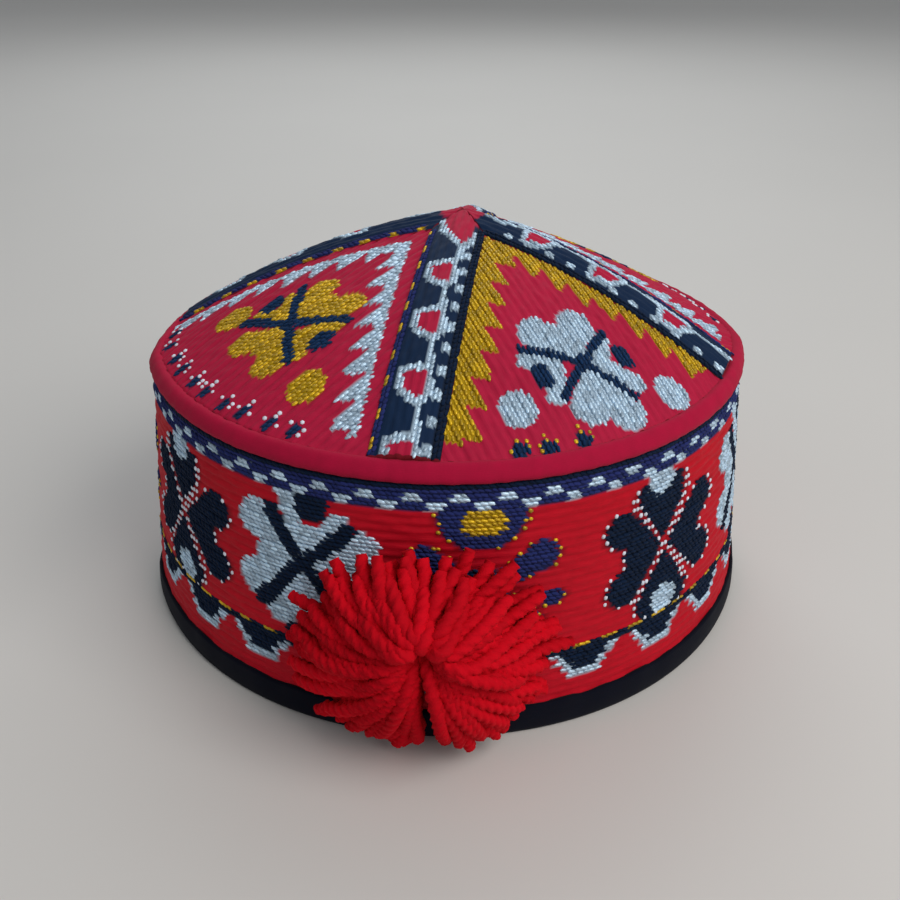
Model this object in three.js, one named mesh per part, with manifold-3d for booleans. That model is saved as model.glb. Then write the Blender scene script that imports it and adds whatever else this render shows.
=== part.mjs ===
// A stiff four-gore embroidered skullcap with a yarn pompom on its side band.
// Millimetres, +Z up, the hat stands on its edge binding and its front looks along -Y.
import * as THREE from 'three';
import { mergeVertices } from 'three/addons/utils/BufferGeometryUtils.js';
import Module from 'manifold-3d';

// Side band: a quilted wall that draws in a little towards the crown
const bandFootRadius = 94;
const bandSeamRadius = 87.2;
const bandHeight = 73.5;
const bandWall = 3.5;

// Edge binding: a tape folded round the lower edge of the band
const bindingHeight = 8.4;
const bindingTape = 1.1;
const bindingCorner = 0.5;

// Crown piping: a stuffed roll that slopes from the crown down to the seam
const rollLength = 7;
const rollThickness = 4;
const rollSlope = 60;
const rollOverhang = 0.8;

// The hat is round in front and pressed in behind, from a soft corner at each side
const backDent = 13.4;
const dentBearing = 94.8;
const dentLead = 0.2;

// Crown: four gores that rise from the roll to a low peak
const crownRise = 31;
const crownBulge = 4.9;
const peakShift = { x: 5, y: 2.4 };
const goreWall = 2.5;
const squareness = 0.6;

// Ridges: raised bands over the four seams between the gores, which stand at uneven bearings
const ridgeWidthAtRim = 17.6;
const ridgeWidthAtPeak = 15.6;
const ridgeWall = 3;
const ridgeEdgeRise = 0.4;
const ridgeCentreRise = 1.6;

// Pompom: locks of yarn that spread from a tie sewn to the band
const pompomHalfWidth = 33.5;
const pompomHalfHeight = 27;
const pompomDepth = 27;
const pompomHeight = 31;
const pompomBearing = -93.3;
const pompomHeadShare = 0.6;

// The gap that two sewn pieces keep, and the steps that round forms are cut into
const clearance = 0.3;
const ringSteps = 64;
const rollSteps = 12;
const goreRows = 12;
const goreColumns = 12;
const ridgeRows = 14;
const ridgeColumns = 4;
const lockSides = 7;

// A lock of yarn from its root to its round tip, as shares of its length and girth
const lockOutline = [
  { along: 0, girth: 0 },
  { along: 0.06, girth: 0.5 },
  { along: 0.55, girth: 0.85 },
  { along: 0.82, girth: 1 },
  { along: 0.96, girth: 0.68 },
  { along: 1, girth: 0 },
];

// The pompom's layers of locks: lift is degrees off the band, and reach, girth are shares of its size
const lockLayers = [
  { count: 13, lift: 6, reach: 1, girth: 0.25, turn: 0 },
  { count: 12, lift: 30, reach: 1, girth: 0.24, turn: 14 },
  { count: 8, lift: 57, reach: 0.98, girth: 0.23, turn: 31 },
];

// Each ridge with the gore that follows it, anticlockwise from the front
const crownParts = [
  { ridge: 'ridge_front', gore: 'gore_front_right', bearing: -96.8 },
  { ridge: 'ridge_right', gore: 'gore_back_right', bearing: -22.9 },
  { ridge: 'ridge_back', gore: 'gore_back_left', bearing: 77 },
  { ridge: 'ridge_left', gore: 'gore_front_left', bearing: 176.3 },
];

const looks = {
  red_cloth: { color: 0xb01428, roughness: 0.85, metalness: 0 },
  embroidery: { color: 0xa81a3a, roughness: 0.75, metalness: 0 },
  ridge_embroidery: { color: 0x1c2448, roughness: 0.75, metalness: 0 },
  navy_tape: { color: 0x10142c, roughness: 0.9, metalness: 0 },
  red_yarn: { color: 0xb80f20, roughness: 0.95, metalness: 0 },
};

const radians = THREE.MathUtils.degToRad;
const lerp = THREE.MathUtils.lerp;

// Places that follow from the sizes above
const bandSlope = (bandFootRadius - bandSeamRadius) / bandHeight;
const bandFoot = bindingTape + clearance;
const rollTilt = radians(rollSlope);
const rollReach = Math.hypot(rollLength * Math.cos(rollTilt), rollThickness * Math.sin(rollTilt)) / 2;
const rollRise = Math.hypot(rollLength * Math.sin(rollTilt), rollThickness * Math.cos(rollTilt)) / 2;
const rollRadius = bandSeamRadius + rollOverhang - rollReach;
const rollHeight = bandHeight + clearance + rollRise;
const rimRadius = rollRadius - rollReach - clearance;
const rollSkew = (rollLength ** 2 - rollThickness ** 2) / 4 * Math.sin(rollTilt) * Math.cos(rollTilt);
const rimHeight = rollHeight + rollSkew / rollReach + goreWall / 2;

function bandRadius(height) {
  return bandFootRadius - bandSlope * height;
}

// How far the hat is pressed in at this angle round its axis
function dentAt(angle) {
  const reach = (Math.cos(angle - radians(dentBearing)) + dentLead) / (1 + dentLead);
  return backDent * Math.sin(Math.max(reach, 0) * Math.PI / 2);
}

// A closed outline of radius and height, turned round the hat's axis and pressed in behind
function ringSolid(outline) {
  const points = outline.map(([radius, height]) => new THREE.Vector2(radius, height));
  points.push(points[0].clone());
  const ring = new THREE.LatheGeometry(points, ringSteps);
  ring.rotateX(Math.PI / 2);
  const place = ring.attributes.position;
  for (let number = 0; number < place.count; number += 1) {
    const angle = Math.atan2(place.getY(number), place.getX(number));
    const radius = Math.hypot(place.getX(number), place.getY(number)) - dentAt(angle);
    place.setXY(number, radius * Math.cos(angle), radius * Math.sin(angle));
  }
  return welded(ring);
}

function welded(geometry) {
  geometry.deleteAttribute('normal');
  geometry.deleteAttribute('uv');
  return mergeVertices(geometry, 1e-3);
}

// A closed slab between two grids of points with the same rows and columns
function slabSolid(upper, under) {
  const rows = upper.length;
  const columns = upper[0].length;
  const vertices = [...upper.flat(), ...under.flat()];
  const top = (row, column) => row * columns + column;
  const low = (row, column) => rows * columns + top(row, column);
  const index = [];
  const quad = (a, b, c, d) => index.push(a, b, c, a, c, d);
  for (let row = 0; row < rows - 1; row += 1) {
    for (let column = 0; column < columns - 1; column += 1) {
      quad(top(row, column), top(row + 1, column), top(row + 1, column + 1), top(row, column + 1));
      quad(low(row, column), low(row, column + 1), low(row + 1, column + 1), low(row + 1, column));
    }
    const last = columns - 1;
    quad(top(row, 0), low(row, 0), low(row + 1, 0), top(row + 1, 0));
    quad(top(row, last), top(row + 1, last), low(row + 1, last), low(row, last));
  }
  for (let column = 0; column < columns - 1; column += 1) {
    const last = rows - 1;
    quad(top(0, column), top(0, column + 1), low(0, column + 1), low(0, column));
    quad(top(last, column), low(last, column), low(last, column + 1), top(last, column + 1));
  }
  const slab = new THREE.BufferGeometry().setFromPoints(vertices);
  slab.setIndex(index);
  return slab;
}

function namedMesh(name, geometry, look) {
  geometry.computeVertexNormals();
  const mesh = new THREE.Mesh(geometry, new THREE.MeshStandardMaterial(looks[look]));
  mesh.name = name;
  return mesh;
}

function sideBand() {
  const ledge = bindingHeight + clearance;
  const step = bindingTape + clearance;
  return ringSolid([
    [bandRadius(bandFoot) - bandWall, bandFoot],
    [bandRadius(bandFoot) - step, bandFoot],
    [bandRadius(ledge) - step, ledge],
    [bandRadius(ledge), ledge],
    [bandSeamRadius, bandHeight],
    [bandSeamRadius - bandWall, bandHeight],
  ]);
}

function edgeBinding() {
  const inside = (height) => bandRadius(height) - bandWall - clearance;
  return ringSolid([
    [inside(0) - bindingTape + bindingCorner, 0],
    [bandRadius(0) - bindingCorner, 0],
    [bandRadius(0), bindingCorner],
    [bandRadius(bindingHeight), bindingHeight],
    [bandRadius(bindingHeight) - bindingTape, bindingHeight],
    [bandRadius(bindingTape) - bindingTape, bindingTape],
    [inside(bindingTape), bindingTape],
    [inside(bindingHeight), bindingHeight],
    [inside(bindingHeight) - bindingTape, bindingHeight],
    [inside(0) - bindingTape, bindingCorner],
  ]);
}

function crownPiping() {
  const outline = [];
  for (let step = 0; step < rollSteps; step += 1) {
    const angle = step * 2 * Math.PI / rollSteps;
    const along = Math.cos(angle) * rollLength / 2;
    const across = Math.sin(angle) * rollThickness / 2;
    outline.push([
      rollRadius + along * Math.cos(rollTilt) + across * Math.sin(rollTilt),
      rollHeight - along * Math.sin(rollTilt) + across * Math.cos(rollTilt),
    ]);
  }
  return ringSolid(outline);
}

// The crown's level lines are straight between the ridges near the peak, and round at the rim.
// Share runs from 0 at the peak to 1 at the rim, and turn is measured from a ridge into a gore that
// opens by span.
function levelRadius(share, turn, span) {
  const roundness = share ** squareness;
  const straight = Math.cos(span / 2) / Math.cos(Math.abs(turn) - span / 2);
  return rimRadius * share * ((1 - roundness) * straight + roundness);
}

// The turn at which a level line lies this far to the side of its ridge
function turnBeside(share, side, span) {
  let near = 0;
  let far = span / 2;
  for (let step = 0; step < 30; step += 1) {
    const middle = (near + far) / 2;
    if (levelRadius(share, middle, span) * Math.sin(middle) < side) near = middle;
    else far = middle;
  }
  return near;
}

function crownPoint(share, turn, span, bearing, rise) {
  const angle = bearing + turn;
  const radius = levelRadius(share, turn, span) * (1 - dentAt(angle) / rimRadius);
  const bulge = 4 * share * (1 - share) * crownBulge;
  return new THREE.Vector3(
    radius * Math.cos(angle) + peakShift.x * (1 - share),
    radius * Math.sin(angle) + peakShift.y * (1 - share),
    rimHeight + crownRise * (1 - share) + bulge + rise,
  );
}

function ridgeHalfWidth(share) {
  return lerp(ridgeWidthAtPeak, ridgeWidthAtRim, share) / 2;
}

function mitreWidth(share, span) {
  return levelRadius(share, span / 2, span) * Math.sin(span / 2);
}

// The half width of a ridge on the side of a gore, which ends at the mitre with the next ridge
function ridgeHalf(share, span) {
  const mitreGap = clearance / 2 / Math.cos(span / 2);
  return Math.min(ridgeHalfWidth(share), mitreWidth(share, span) - mitreGap);
}

function ridge(bearing, spanBefore, spanAfter) {
  const upper = [];
  const under = [];
  const firstShare = 1 / rimRadius;
  for (let row = 0; row <= ridgeRows; row += 1) {
    const share = lerp(firstShare, 1, row / ridgeRows);
    const upperRow = [];
    const underRow = [];
    for (let column = 0; column <= ridgeColumns; column += 1) {
      const across = lerp(-1, 1, column / ridgeColumns);
      const span = across < 0 ? spanBefore : spanAfter;
      const side = Math.abs(across) * ridgeHalf(share, span);
      const turn = Math.sign(across) * turnBeside(share, side, span);
      const rise = lerp(ridgeCentreRise, ridgeEdgeRise, across ** 2);
      upperRow.push(crownPoint(share, turn, span, bearing, rise));
      underRow.push(crownPoint(share, turn, span, bearing, rise - ridgeWall));
    }
    upper.push(upperRow);
    under.push(underRow);
  }
  return slabSolid(upper, under);
}

// The share at which the two ridges beside a gore part and leave room for its tip
function goreTipShare(span) {
  let near = 0;
  let far = 1;
  for (let step = 0; step < 30; step += 1) {
    const middle = (near + far) / 2;
    if (mitreWidth(middle, span) < ridgeHalfWidth(middle) + 2 * clearance) near = middle;
    else far = middle;
  }
  return far;
}

function gore(bearing, span) {
  const upper = [];
  const under = [];
  const tip = goreTipShare(span);
  for (let row = 0; row <= goreRows; row += 1) {
    const share = lerp(tip, 1, row / goreRows);
    const start = turnBeside(share, ridgeHalfWidth(share) + clearance, span);
    const upperRow = [];
    const underRow = [];
    for (let column = 0; column <= goreColumns; column += 1) {
      const turn = lerp(start, span - start, column / goreColumns);
      upperRow.push(crownPoint(share, turn, span, bearing, 0));
      underRow.push(crownPoint(share, turn, span, bearing, -goreWall));
    }
    upper.push(upperRow);
    under.push(underRow);
  }
  return slabSolid(upper, under);
}

// Joining and cutting of closed solids
const wasm = await Module();
wasm.setup();

function toManifold(geometry) {
  const vertProperties = new Float32Array(geometry.attributes.position.array);
  const triVerts = new Uint32Array(geometry.index.array);
  return new wasm.Manifold(new wasm.Mesh({ numProp: 3, vertProperties, triVerts }));
}

function fromManifold(solid) {
  const mesh = solid.getMesh();
  const geometry = new THREE.BufferGeometry();
  geometry.setAttribute('position', new THREE.Float32BufferAttribute(mesh.vertProperties, 3));
  geometry.setIndex(Array.from(mesh.triVerts));
  return geometry;
}

// The band's own outside, one clearance larger, which the pompom's back is cut to
function bandKeepOut() {
  const reach = pompomHalfHeight * 2;
  const foot = Math.min(0, pompomHeight - reach);
  const head = pompomHeight + reach;
  const keepOut = new THREE.CylinderGeometry(
    bandRadius(head) + clearance,
    bandRadius(foot) + clearance,
    head - foot,
    ringSteps,
  );
  keepOut.rotateX(Math.PI / 2);
  keepOut.rotateZ(Math.PI / ringSteps);
  keepOut.translate(0, 0, (head + foot) / 2);
  return welded(keepOut);
}

function lock(length, girth) {
  const points = lockOutline.map((row) => new THREE.Vector2(row.girth * girth, row.along * length));
  return welded(new THREE.LatheGeometry(points, lockSides));
}

// The pompom stands on the XZ plane here and grows along -Y
function pompomHead() {
  const head = new THREE.SphereGeometry(pompomHeadShare, 12, 8);
  head.scale(pompomHalfWidth, pompomDepth, pompomHalfHeight);
  return toManifold(welded(head));
}

function pompomLocks() {
  const locks = [];
  for (const layer of lockLayers) {
    for (let number = 0; number < layer.count; number += 1) {
      const piece = lock(layer.reach, layer.girth);
      piece.rotateX(radians(layer.lift + 90));
      piece.rotateY(radians(layer.turn + number * 360 / layer.count));
      piece.scale(pompomHalfWidth, pompomDepth, pompomHalfHeight);
      locks.push(toManifold(piece));
    }
  }
  return locks;
}

function pompom() {
  const bearing = radians(pompomBearing);
  const seat = bandRadius(pompomHeight) + clearance;
  const place = new THREE.Matrix4().makeRotationZ(bearing + Math.PI / 2);
  place.setPosition(seat * Math.cos(bearing), seat * Math.sin(bearing), pompomHeight);
  const ball = pompomLocks().reduce((whole, piece) => whole.add(piece), pompomHead());
  const placed = fromManifold(ball).applyMatrix4(place);
  return fromManifold(toManifold(placed).subtract(toManifold(bandKeepOut())));
}

function crown() {
  const group = new THREE.Group();
  const bearings = crownParts.map((part) => radians(part.bearing));
  const spans = bearings.map((bearing, number) => {
    const next = number + 1 < bearings.length ? bearings[number + 1] : bearings[0] + 2 * Math.PI;
    return next - bearing;
  });
  crownParts.forEach((part, number) => {
    const before = spans[(number + spans.length - 1) % spans.length];
    const padded = ridge(bearings[number], before, spans[number]);
    group.add(namedMesh(part.ridge, padded, 'ridge_embroidery'));
    group.add(namedMesh(part.gore, gore(bearings[number], spans[number]), 'embroidery'));
  });
  group.add(namedMesh('crown_piping', crownPiping(), 'red_cloth'));
  return group;
}

function band() {
  const group = new THREE.Group();
  group.add(namedMesh('side_band', sideBand(), 'embroidery'));
  group.add(namedMesh('edge_binding', edgeBinding(), 'navy_tape'));
  group.add(namedMesh('pompom', pompom(), 'red_yarn'));
  return group;
}

// The origin is the middle of the hat's box, on the surface that the hat stands on
const hat = new THREE.Group();
hat.add(band(), crown());
const box = new THREE.Box3().setFromObject(hat, true);
const middle = box.getCenter(new THREE.Vector3());
hat.position.set(-middle.x, -middle.y, -box.min.z);

export default hat;
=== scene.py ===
"""Looks of an embroidered folk skullcap with a yarn pompom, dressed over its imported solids.

The cap is quilted in narrow ribs. Every motif is worked in short stitches that lie along those ribs,
so the motifs are charted here as rounded strokes in millimetres, and each stitch takes its thread from
the chart. The script then lays the piping, the tape round the foot and the twisted yarn of the pompom.
"""

import logging
import math
from dataclasses import dataclass, field
from enum import Enum

import bpy
import numpy as np
from mathutils import Matrix, Vector


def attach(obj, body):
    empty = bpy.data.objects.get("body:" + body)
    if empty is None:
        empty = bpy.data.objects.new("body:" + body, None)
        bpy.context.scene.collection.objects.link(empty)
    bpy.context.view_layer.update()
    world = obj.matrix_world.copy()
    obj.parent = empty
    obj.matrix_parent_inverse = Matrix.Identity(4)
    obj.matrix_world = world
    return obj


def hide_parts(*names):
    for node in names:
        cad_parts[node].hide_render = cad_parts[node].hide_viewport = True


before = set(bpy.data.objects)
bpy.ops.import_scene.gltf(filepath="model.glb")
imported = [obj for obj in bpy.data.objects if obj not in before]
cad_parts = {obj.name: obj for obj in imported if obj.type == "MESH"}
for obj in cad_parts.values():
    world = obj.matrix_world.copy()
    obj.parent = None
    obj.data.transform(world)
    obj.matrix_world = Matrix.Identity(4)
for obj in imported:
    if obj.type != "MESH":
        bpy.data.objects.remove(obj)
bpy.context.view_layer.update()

MM = 0.001
BODY = "root"
GOLDEN_ANGLE = 2.39996
Pair = tuple[float, float]
log = logging.getLogger("skullcap")


def linear(red: float, green: float, blue: float) -> tuple[float, float, float, float]:
    """Turns a screen colour into the scene's linear colour.

    Args:
        red: Screen value from 0 to 255.
        green: Screen value from 0 to 255.
        blue: Screen value from 0 to 255.

    Returns:
        Red, green, blue and a full alpha.
    """
    parts = [value / 255 for value in (red, green, blue)]
    parts = [v / 12.92 if v <= 0.04045 else ((v + 0.055) / 1.055) ** 2.4 for v in parts]
    return (*parts, 1.0)


class Thread(Enum):
    """Threads of the embroidery, with the number that each has in a chart."""

    RED = 0
    CRIMSON = 1
    NAVY = 2
    BLACK = 3
    PURPLE = 4
    SILVER = 5
    GOLD = 6
    WHITE = 7
    GOLD_KNOT = 8

    @property
    def knotted(self) -> bool:
        """Says whether the thread makes single knots across a rib."""
        return self in (Thread.WHITE, Thread.GOLD_KNOT)


class Signal:
    """A socket of a node tree that takes part in Python expressions."""

    def __init__(self, tree: "NodeTree", socket: bpy.types.NodeSocket) -> None:
        """Keeps the tree and the socket."""
        self.tree = tree
        self.socket = socket

    def _math(self, operation: str, *values: "Signal | float") -> "Signal":
        """Adds one Math node for an operation on the given values."""
        return self.tree.add("ShaderNodeMath", {"operation": operation}, dict(enumerate(values)))

    def __add__(self, other: "Signal | float") -> "Signal":
        """Adds a signal or a number."""
        return self._math("ADD", self, other)

    def __mul__(self, other: "Signal | float") -> "Signal":
        """Multiplies by a signal or a number."""
        return self._math("MULTIPLY", self, other)


class NodeTree:
    """Adds nodes to a shader or geometry tree and links them."""

    def __init__(self, tree: bpy.types.NodeTree) -> None:
        """Keeps the tree that the nodes go into."""
        self.tree = tree

    def node(self, kind: str, settings: dict | None = None, inputs: dict | None = None) -> bpy.types.Node:
        """Adds one node.

        Args:
            kind: Blender's name of the node type.
            settings: Properties to set before the sockets.
            inputs: Values or signals by socket name or number.

        Returns:
            The new node.
        """
        made = self.tree.nodes.new(kind)
        for name, value in (settings or {}).items():
            setattr(made, name, value)
        for name, value in (inputs or {}).items():
            socket = made.inputs[name]
            if isinstance(value, Signal):
                self.tree.links.new(value.socket, socket)
            else:
                socket.default_value = value
        return made

    def add(self, kind: str, settings: dict | None = None, inputs: dict | None = None,
            output: str | int = 0) -> Signal:
        """Adds one node and returns one of its outputs as a signal."""
        return Signal(self, self.node(kind, settings, inputs).outputs[output])


class Surface:
    """The base of a finish: a material with one Principled shader."""

    def start(self, name: str) -> tuple[bpy.types.Material, NodeTree, bpy.types.Node]:
        """Makes the material.

        Args:
            name: The material's name.

        Returns:
            The material, its tree and its Principled node.
        """
        material = bpy.data.materials.new(name)
        material.use_nodes = True
        material.node_tree.nodes.clear()
        tree = NodeTree(material.node_tree)
        shader = tree.node("ShaderNodeBsdfPrincipled")
        tree.node("ShaderNodeOutputMaterial", None, {"Surface": Signal(tree, shader.outputs[0])})
        return material, tree, shader

    @staticmethod
    def vary(tree: NodeTree, colour: Signal | tuple, amount: Signal, low: float, high: float) -> Signal:
        """Makes a colour darker or lighter by a signal from 0 to 1.

        Args:
            tree: The material's tree.
            colour: The plain colour.
            amount: The signal from 0 to 1.
            low: Brightness where the signal is 0.
            high: Brightness where the signal is 1.

        Returns:
            The varied colour.
        """
        level = tree.add("ShaderNodeMapRange", None, {"Value": amount, "To Min": low, "To Max": high})
        grey = tree.add("ShaderNodeCombineColor", None, {0: level, 1: level, 2: level})
        return tree.add("ShaderNodeMix", {"data_type": "RGBA", "blend_type": "MULTIPLY"},
                        {0: 1.0, 6: colour, 7: grey}, 2)

    @staticmethod
    def place(tree: NodeTree) -> Signal:
        """Gives the place on the object, in metres."""
        return tree.add("ShaderNodeTexCoord", None, None, "Object")

    @staticmethod
    def noise(tree: NodeTree, place: Signal, scale: float, detail: float,
              roughness: float = 0.5) -> Signal:
        """Adds a noise that is read at a place."""
        return tree.add("ShaderNodeTexNoise", None, {
            "Vector": place, "Scale": scale, "Detail": detail, "Roughness": roughness})

    @staticmethod
    def fit(tree: NodeTree, shader: bpy.types.Node, colour: Signal, worn: Signal, rough: Pair,
            relief: tuple[float, float, Signal], levels: dict[str, object]) -> None:
        """Feeds the Principled shader.

        Args:
            tree: The material's tree.
            shader: Its Principled node.
            colour: The base colour.
            worn: A signal from 0 to 1 that the roughness follows.
            rough: The least and the greatest roughness.
            relief: Strength, distance in metres and height of the bump.
            levels: Plain values by the input's name.
        """
        signals = {
            "Base Color": colour,
            "Roughness": tree.add("ShaderNodeMapRange", None, {
                "Value": worn, "To Min": rough[0], "To Max": rough[1]}),
            "Normal": tree.add("ShaderNodeBump", None, dict(
                zip(("Strength", "Distance", "Height"), relief))),
        }
        for name, signal in signals.items():
            tree.tree.links.new(signal.socket, shader.inputs[name])
        for name, value in levels.items():
            shader.inputs[name].default_value = value


@dataclass(frozen=True)
class ThreadFinish(Surface):
    """One embroidery thread: its colour, gloss and how much its stitches differ."""

    name: str
    colour: tuple[float, float, float, float]
    roughness: float = 0.62
    metallic: float = 0.0
    sheen: float = 0.02
    low: float = 0.7
    high: float = 1.25
    gloss: float = 0.12
    strand_scale: float = 900

    def build(self) -> bpy.types.Material:
        """Makes the thread's material, with fine strands in its bump.

        Returns:
            The material.
        """
        material, tree, shader = self.start(self.name)
        shade = tree.add("ShaderNodeAttribute", {"attribute_name": "shade"}, None, "Fac")
        strands = self.noise(tree, self.place(tree), self.strand_scale, 3.0, 0.6)
        colour = self.vary(tree, self.colour, shade * 0.65 + strands * 0.35, self.low, self.high)
        self.fit(tree, shader, colour, strands, (self.roughness - 0.12, self.roughness + 0.12),
                 (0.35, 0.0002, strands),
                 {"Metallic": self.metallic, "Sheen Weight": self.sheen, "Specular IOR Level": self.gloss})
        return material


@dataclass(frozen=True)
class QuiltFinish(Surface):
    """The ribbed ground, which shows the colour that the chart gives each place, with painted shade under
    the motif threads.
    """

    name: str
    roughness: float = 0.66

    def build(self) -> bpy.types.Material:
        """Makes the ground's material, with long soft stitches along the ribs.

        Returns:
            The material.
        """
        material, tree, shader = self.start(self.name)
        laid = tree.add("ShaderNodeAttribute", {"attribute_name": "thread_colour"}, None, "Color")
        cloth = tree.add("ShaderNodeUVMap", {"uv_map": "cloth"})
        drawn, bitten = (tree.add("ShaderNodeMapping", None, {"Vector": cloth, "Scale": scale})
                         for scale in ((240.0, 2100.0, 1.0), (420.0, 430.0, 1.0)))
        floss = self.noise(tree, drawn, 1.0, 4.0, 0.62)
        bites = self.noise(tree, bitten, 1.0, 2.0)
        broad = self.noise(tree, self.place(tree), 55.0, 2.0)
        colour = self.vary(tree, laid, floss * 0.5 + bites * 0.25 + broad * 0.25, 0.5, 1.5)
        self.fit(tree, shader, colour, floss, (self.roughness - 0.14, self.roughness + 0.14),
                 (0.5, 0.0003, floss * 0.6 + bites * 0.4),
                 {"Sheen Weight": 0.02, "Sheen Roughness": 0.4, "Specular IOR Level": 0.14})
        return material


@dataclass(frozen=True)
class WovenFinish(Surface):
    """Plain cotton or tape, with warp and weft in its bump."""

    name: str
    colour: tuple[float, float, float, float]
    thread_pitch: float = 0.3
    roughness: float = 0.8
    slanted: bool = False
    contrast: float = 0.25

    def build(self) -> bpy.types.Material:
        """Makes the cloth's material on its own flat map.

        Returns:
            The material.
        """
        material, tree, shader = self.start(self.name)
        cloth = tree.add("ShaderNodeUVMap", {"uv_map": "cloth"})
        turned = tree.add("ShaderNodeMapping", None, {
            "Vector": cloth, "Rotation": (0.0, 0.0, math.radians(32) if self.slanted else 0.0)})
        scale = math.pi / (10 * self.thread_pitch * MM)
        warp, weft = (
            tree.add("ShaderNodeTexWave", {"wave_type": "BANDS", "bands_direction": way}, {
                "Vector": turned, "Scale": scale, "Distortion": 0.6, "Detail": 1.0}, 1)
            for way in ("X", "Y"))
        fluff = self.noise(tree, self.place(tree), 260.0, 4.0)
        weave = warp * 0.5 + weft * (0.15 if self.slanted else 0.5)
        colour = self.vary(tree, self.colour, weave * 0.3 + fluff * 0.7,
                           1 - self.contrast, 1 + self.contrast)
        self.fit(tree, shader, colour, fluff, (self.roughness - 0.1, self.roughness + 0.1),
                 (0.3, 0.0002, weave * 0.5 + fluff * 0.5),
                 {"Sheen Weight": 0.03, "Specular IOR Level": 0.12})
        return material


@dataclass(frozen=True)
class YarnFinish(Surface):
    """Soft acrylic yarn with fibres in its bump, each strand a little lighter or darker at random."""

    name: str
    colour: tuple[float, float, float, float]

    def build(self) -> bpy.types.Material:
        """Makes the yarn's material.

        Returns:
            The material.
        """
        material, tree, shader = self.start(self.name)
        shade = tree.add("ShaderNodeAttribute", {"attribute_name": "shade"}, None, "Fac")
        fibres = self.noise(tree, self.place(tree), 700.0, 5.0, 0.7)
        colour = self.vary(tree, self.colour, shade * 0.5 + fibres * 0.5, 0.72, 1.25)
        self.fit(tree, shader, colour, fibres, (0.7, 0.95), (0.6, 0.0004, fibres),
                 {"Sheen Weight": 0.12, "Sheen Roughness": 0.5, "Sheen Tint": linear(255, 60, 60),
                  "Specular IOR Level": 0.1})
        return material


THREADS: dict[Thread, ThreadFinish] = {
    Thread.RED: ThreadFinish("thread_red", linear(190, 8, 32)),
    Thread.CRIMSON: ThreadFinish("thread_crimson", linear(178, 22, 60)),
    Thread.NAVY: ThreadFinish("thread_navy", linear(16, 48, 86), 0.8),
    Thread.BLACK: ThreadFinish("thread_black", linear(8, 28, 54), 0.8),
    Thread.PURPLE: ThreadFinish("thread_purple", linear(36, 46, 102), 0.8),
    Thread.SILVER: ThreadFinish("thread_silver", linear(198, 224, 244), 0.4, 0.3, 0.05, 0.42, 1.4, 0.5),
    Thread.GOLD: ThreadFinish("thread_gold", linear(212, 172, 8), 0.4, 0.35, 0.05, 0.42, 1.4, 0.5),
    Thread.WHITE: ThreadFinish("thread_white", linear(226, 232, 244), 0.55, 0.0, 0.1, 0.75, 1.15, 0.3),
}
THREADS[Thread.GOLD_KNOT] = THREADS[Thread.GOLD]


@dataclass(frozen=True)
class Stroke:
    """A rounded stroke of one thread, which may widen or narrow towards its end.

    Places are (along, across) in millimetres, along and across the ribs.
    """

    thread: Thread
    start: Pair
    end: Pair
    first: float
    last: float
    edge: Thread | None = None
    edge_width: float = 1.5
    ringed: bool = False

    def outlined(self, along: np.ndarray, across: np.ndarray) -> np.ndarray:
        """Says where the outline lies: at the ends of each rib, or all round where it is ringed.

        Args:
            along: Places along the ribs, in millimetres.
            across: Places across the ribs, in millimetres.

        Returns:
            True on the outline.
        """
        if self.ringed:
            return self.depth(along, across) > -self.edge_width
        ends = (self.depth(along - self.edge_width, across), self.depth(along + self.edge_width, across))
        return np.maximum(*ends) > 0

    def depth(self, along: np.ndarray, across: np.ndarray) -> np.ndarray:
        """Gives how deep each place lies inside the stroke, negative outside it.

        Args:
            along: Places along the ribs, in millimetres.
            across: Places across the ribs, in millimetres.

        Returns:
            Depths in millimetres.
        """
        way_along, way_across = self.end[0] - self.start[0], self.end[1] - self.start[1]
        length = max(way_along**2 + way_across**2, 1e-9)
        past_along, past_across = along - self.start[0], across - self.start[1]
        share = np.clip((past_along * way_along + past_across * way_across) / length, 0, 1)
        gap = np.hypot(past_along - share * way_along, past_across - share * way_across)
        return self.first + share * (self.last - self.first) - gap


def spot(thread: Thread, centre: Pair, radius: float, half_length: float = 0,
         edge: Thread | None = None) -> Stroke:
    """Makes a round or oblong spot.

    Args:
        thread: The spot's thread.
        centre: Its middle.
        radius: Its radius.
        half_length: How far it is drawn out along the rib, to each side.
        edge: Thread of the outline, if it has one.

    Returns:
        The spot.
    """
    along, across = centre
    return Stroke(thread, (along - half_length, across), (along + half_length, across),
                  radius, radius, edge)


def heart(thread: Thread, point: Pair, one: Pair, other: Pair,
          radius: float, edge: Thread | None = None) -> list[Stroke]:
    """Makes a petal in the form of a heart.

    Args:
        thread: The petal's thread.
        point: The heart's point, at the flower's middle.
        one: Middle of one bump.
        other: Middle of the other bump.
        radius: Radius of both bumps.
        edge: Thread of the outline, if it has one.

    Returns:
        Three strokes that together cover the heart.
    """
    tip, fill_reach, fill_share = 1.4, 0.62, 0.78
    fill = tuple(p + fill_reach * ((a + b) / 2 - p) for p, a, b in zip(point, one, other))
    ends = ((one, radius), (other, radius), (fill, radius * fill_share))
    return [Stroke(thread, point, end, tip, last, edge) for end, last in ends]


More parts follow.
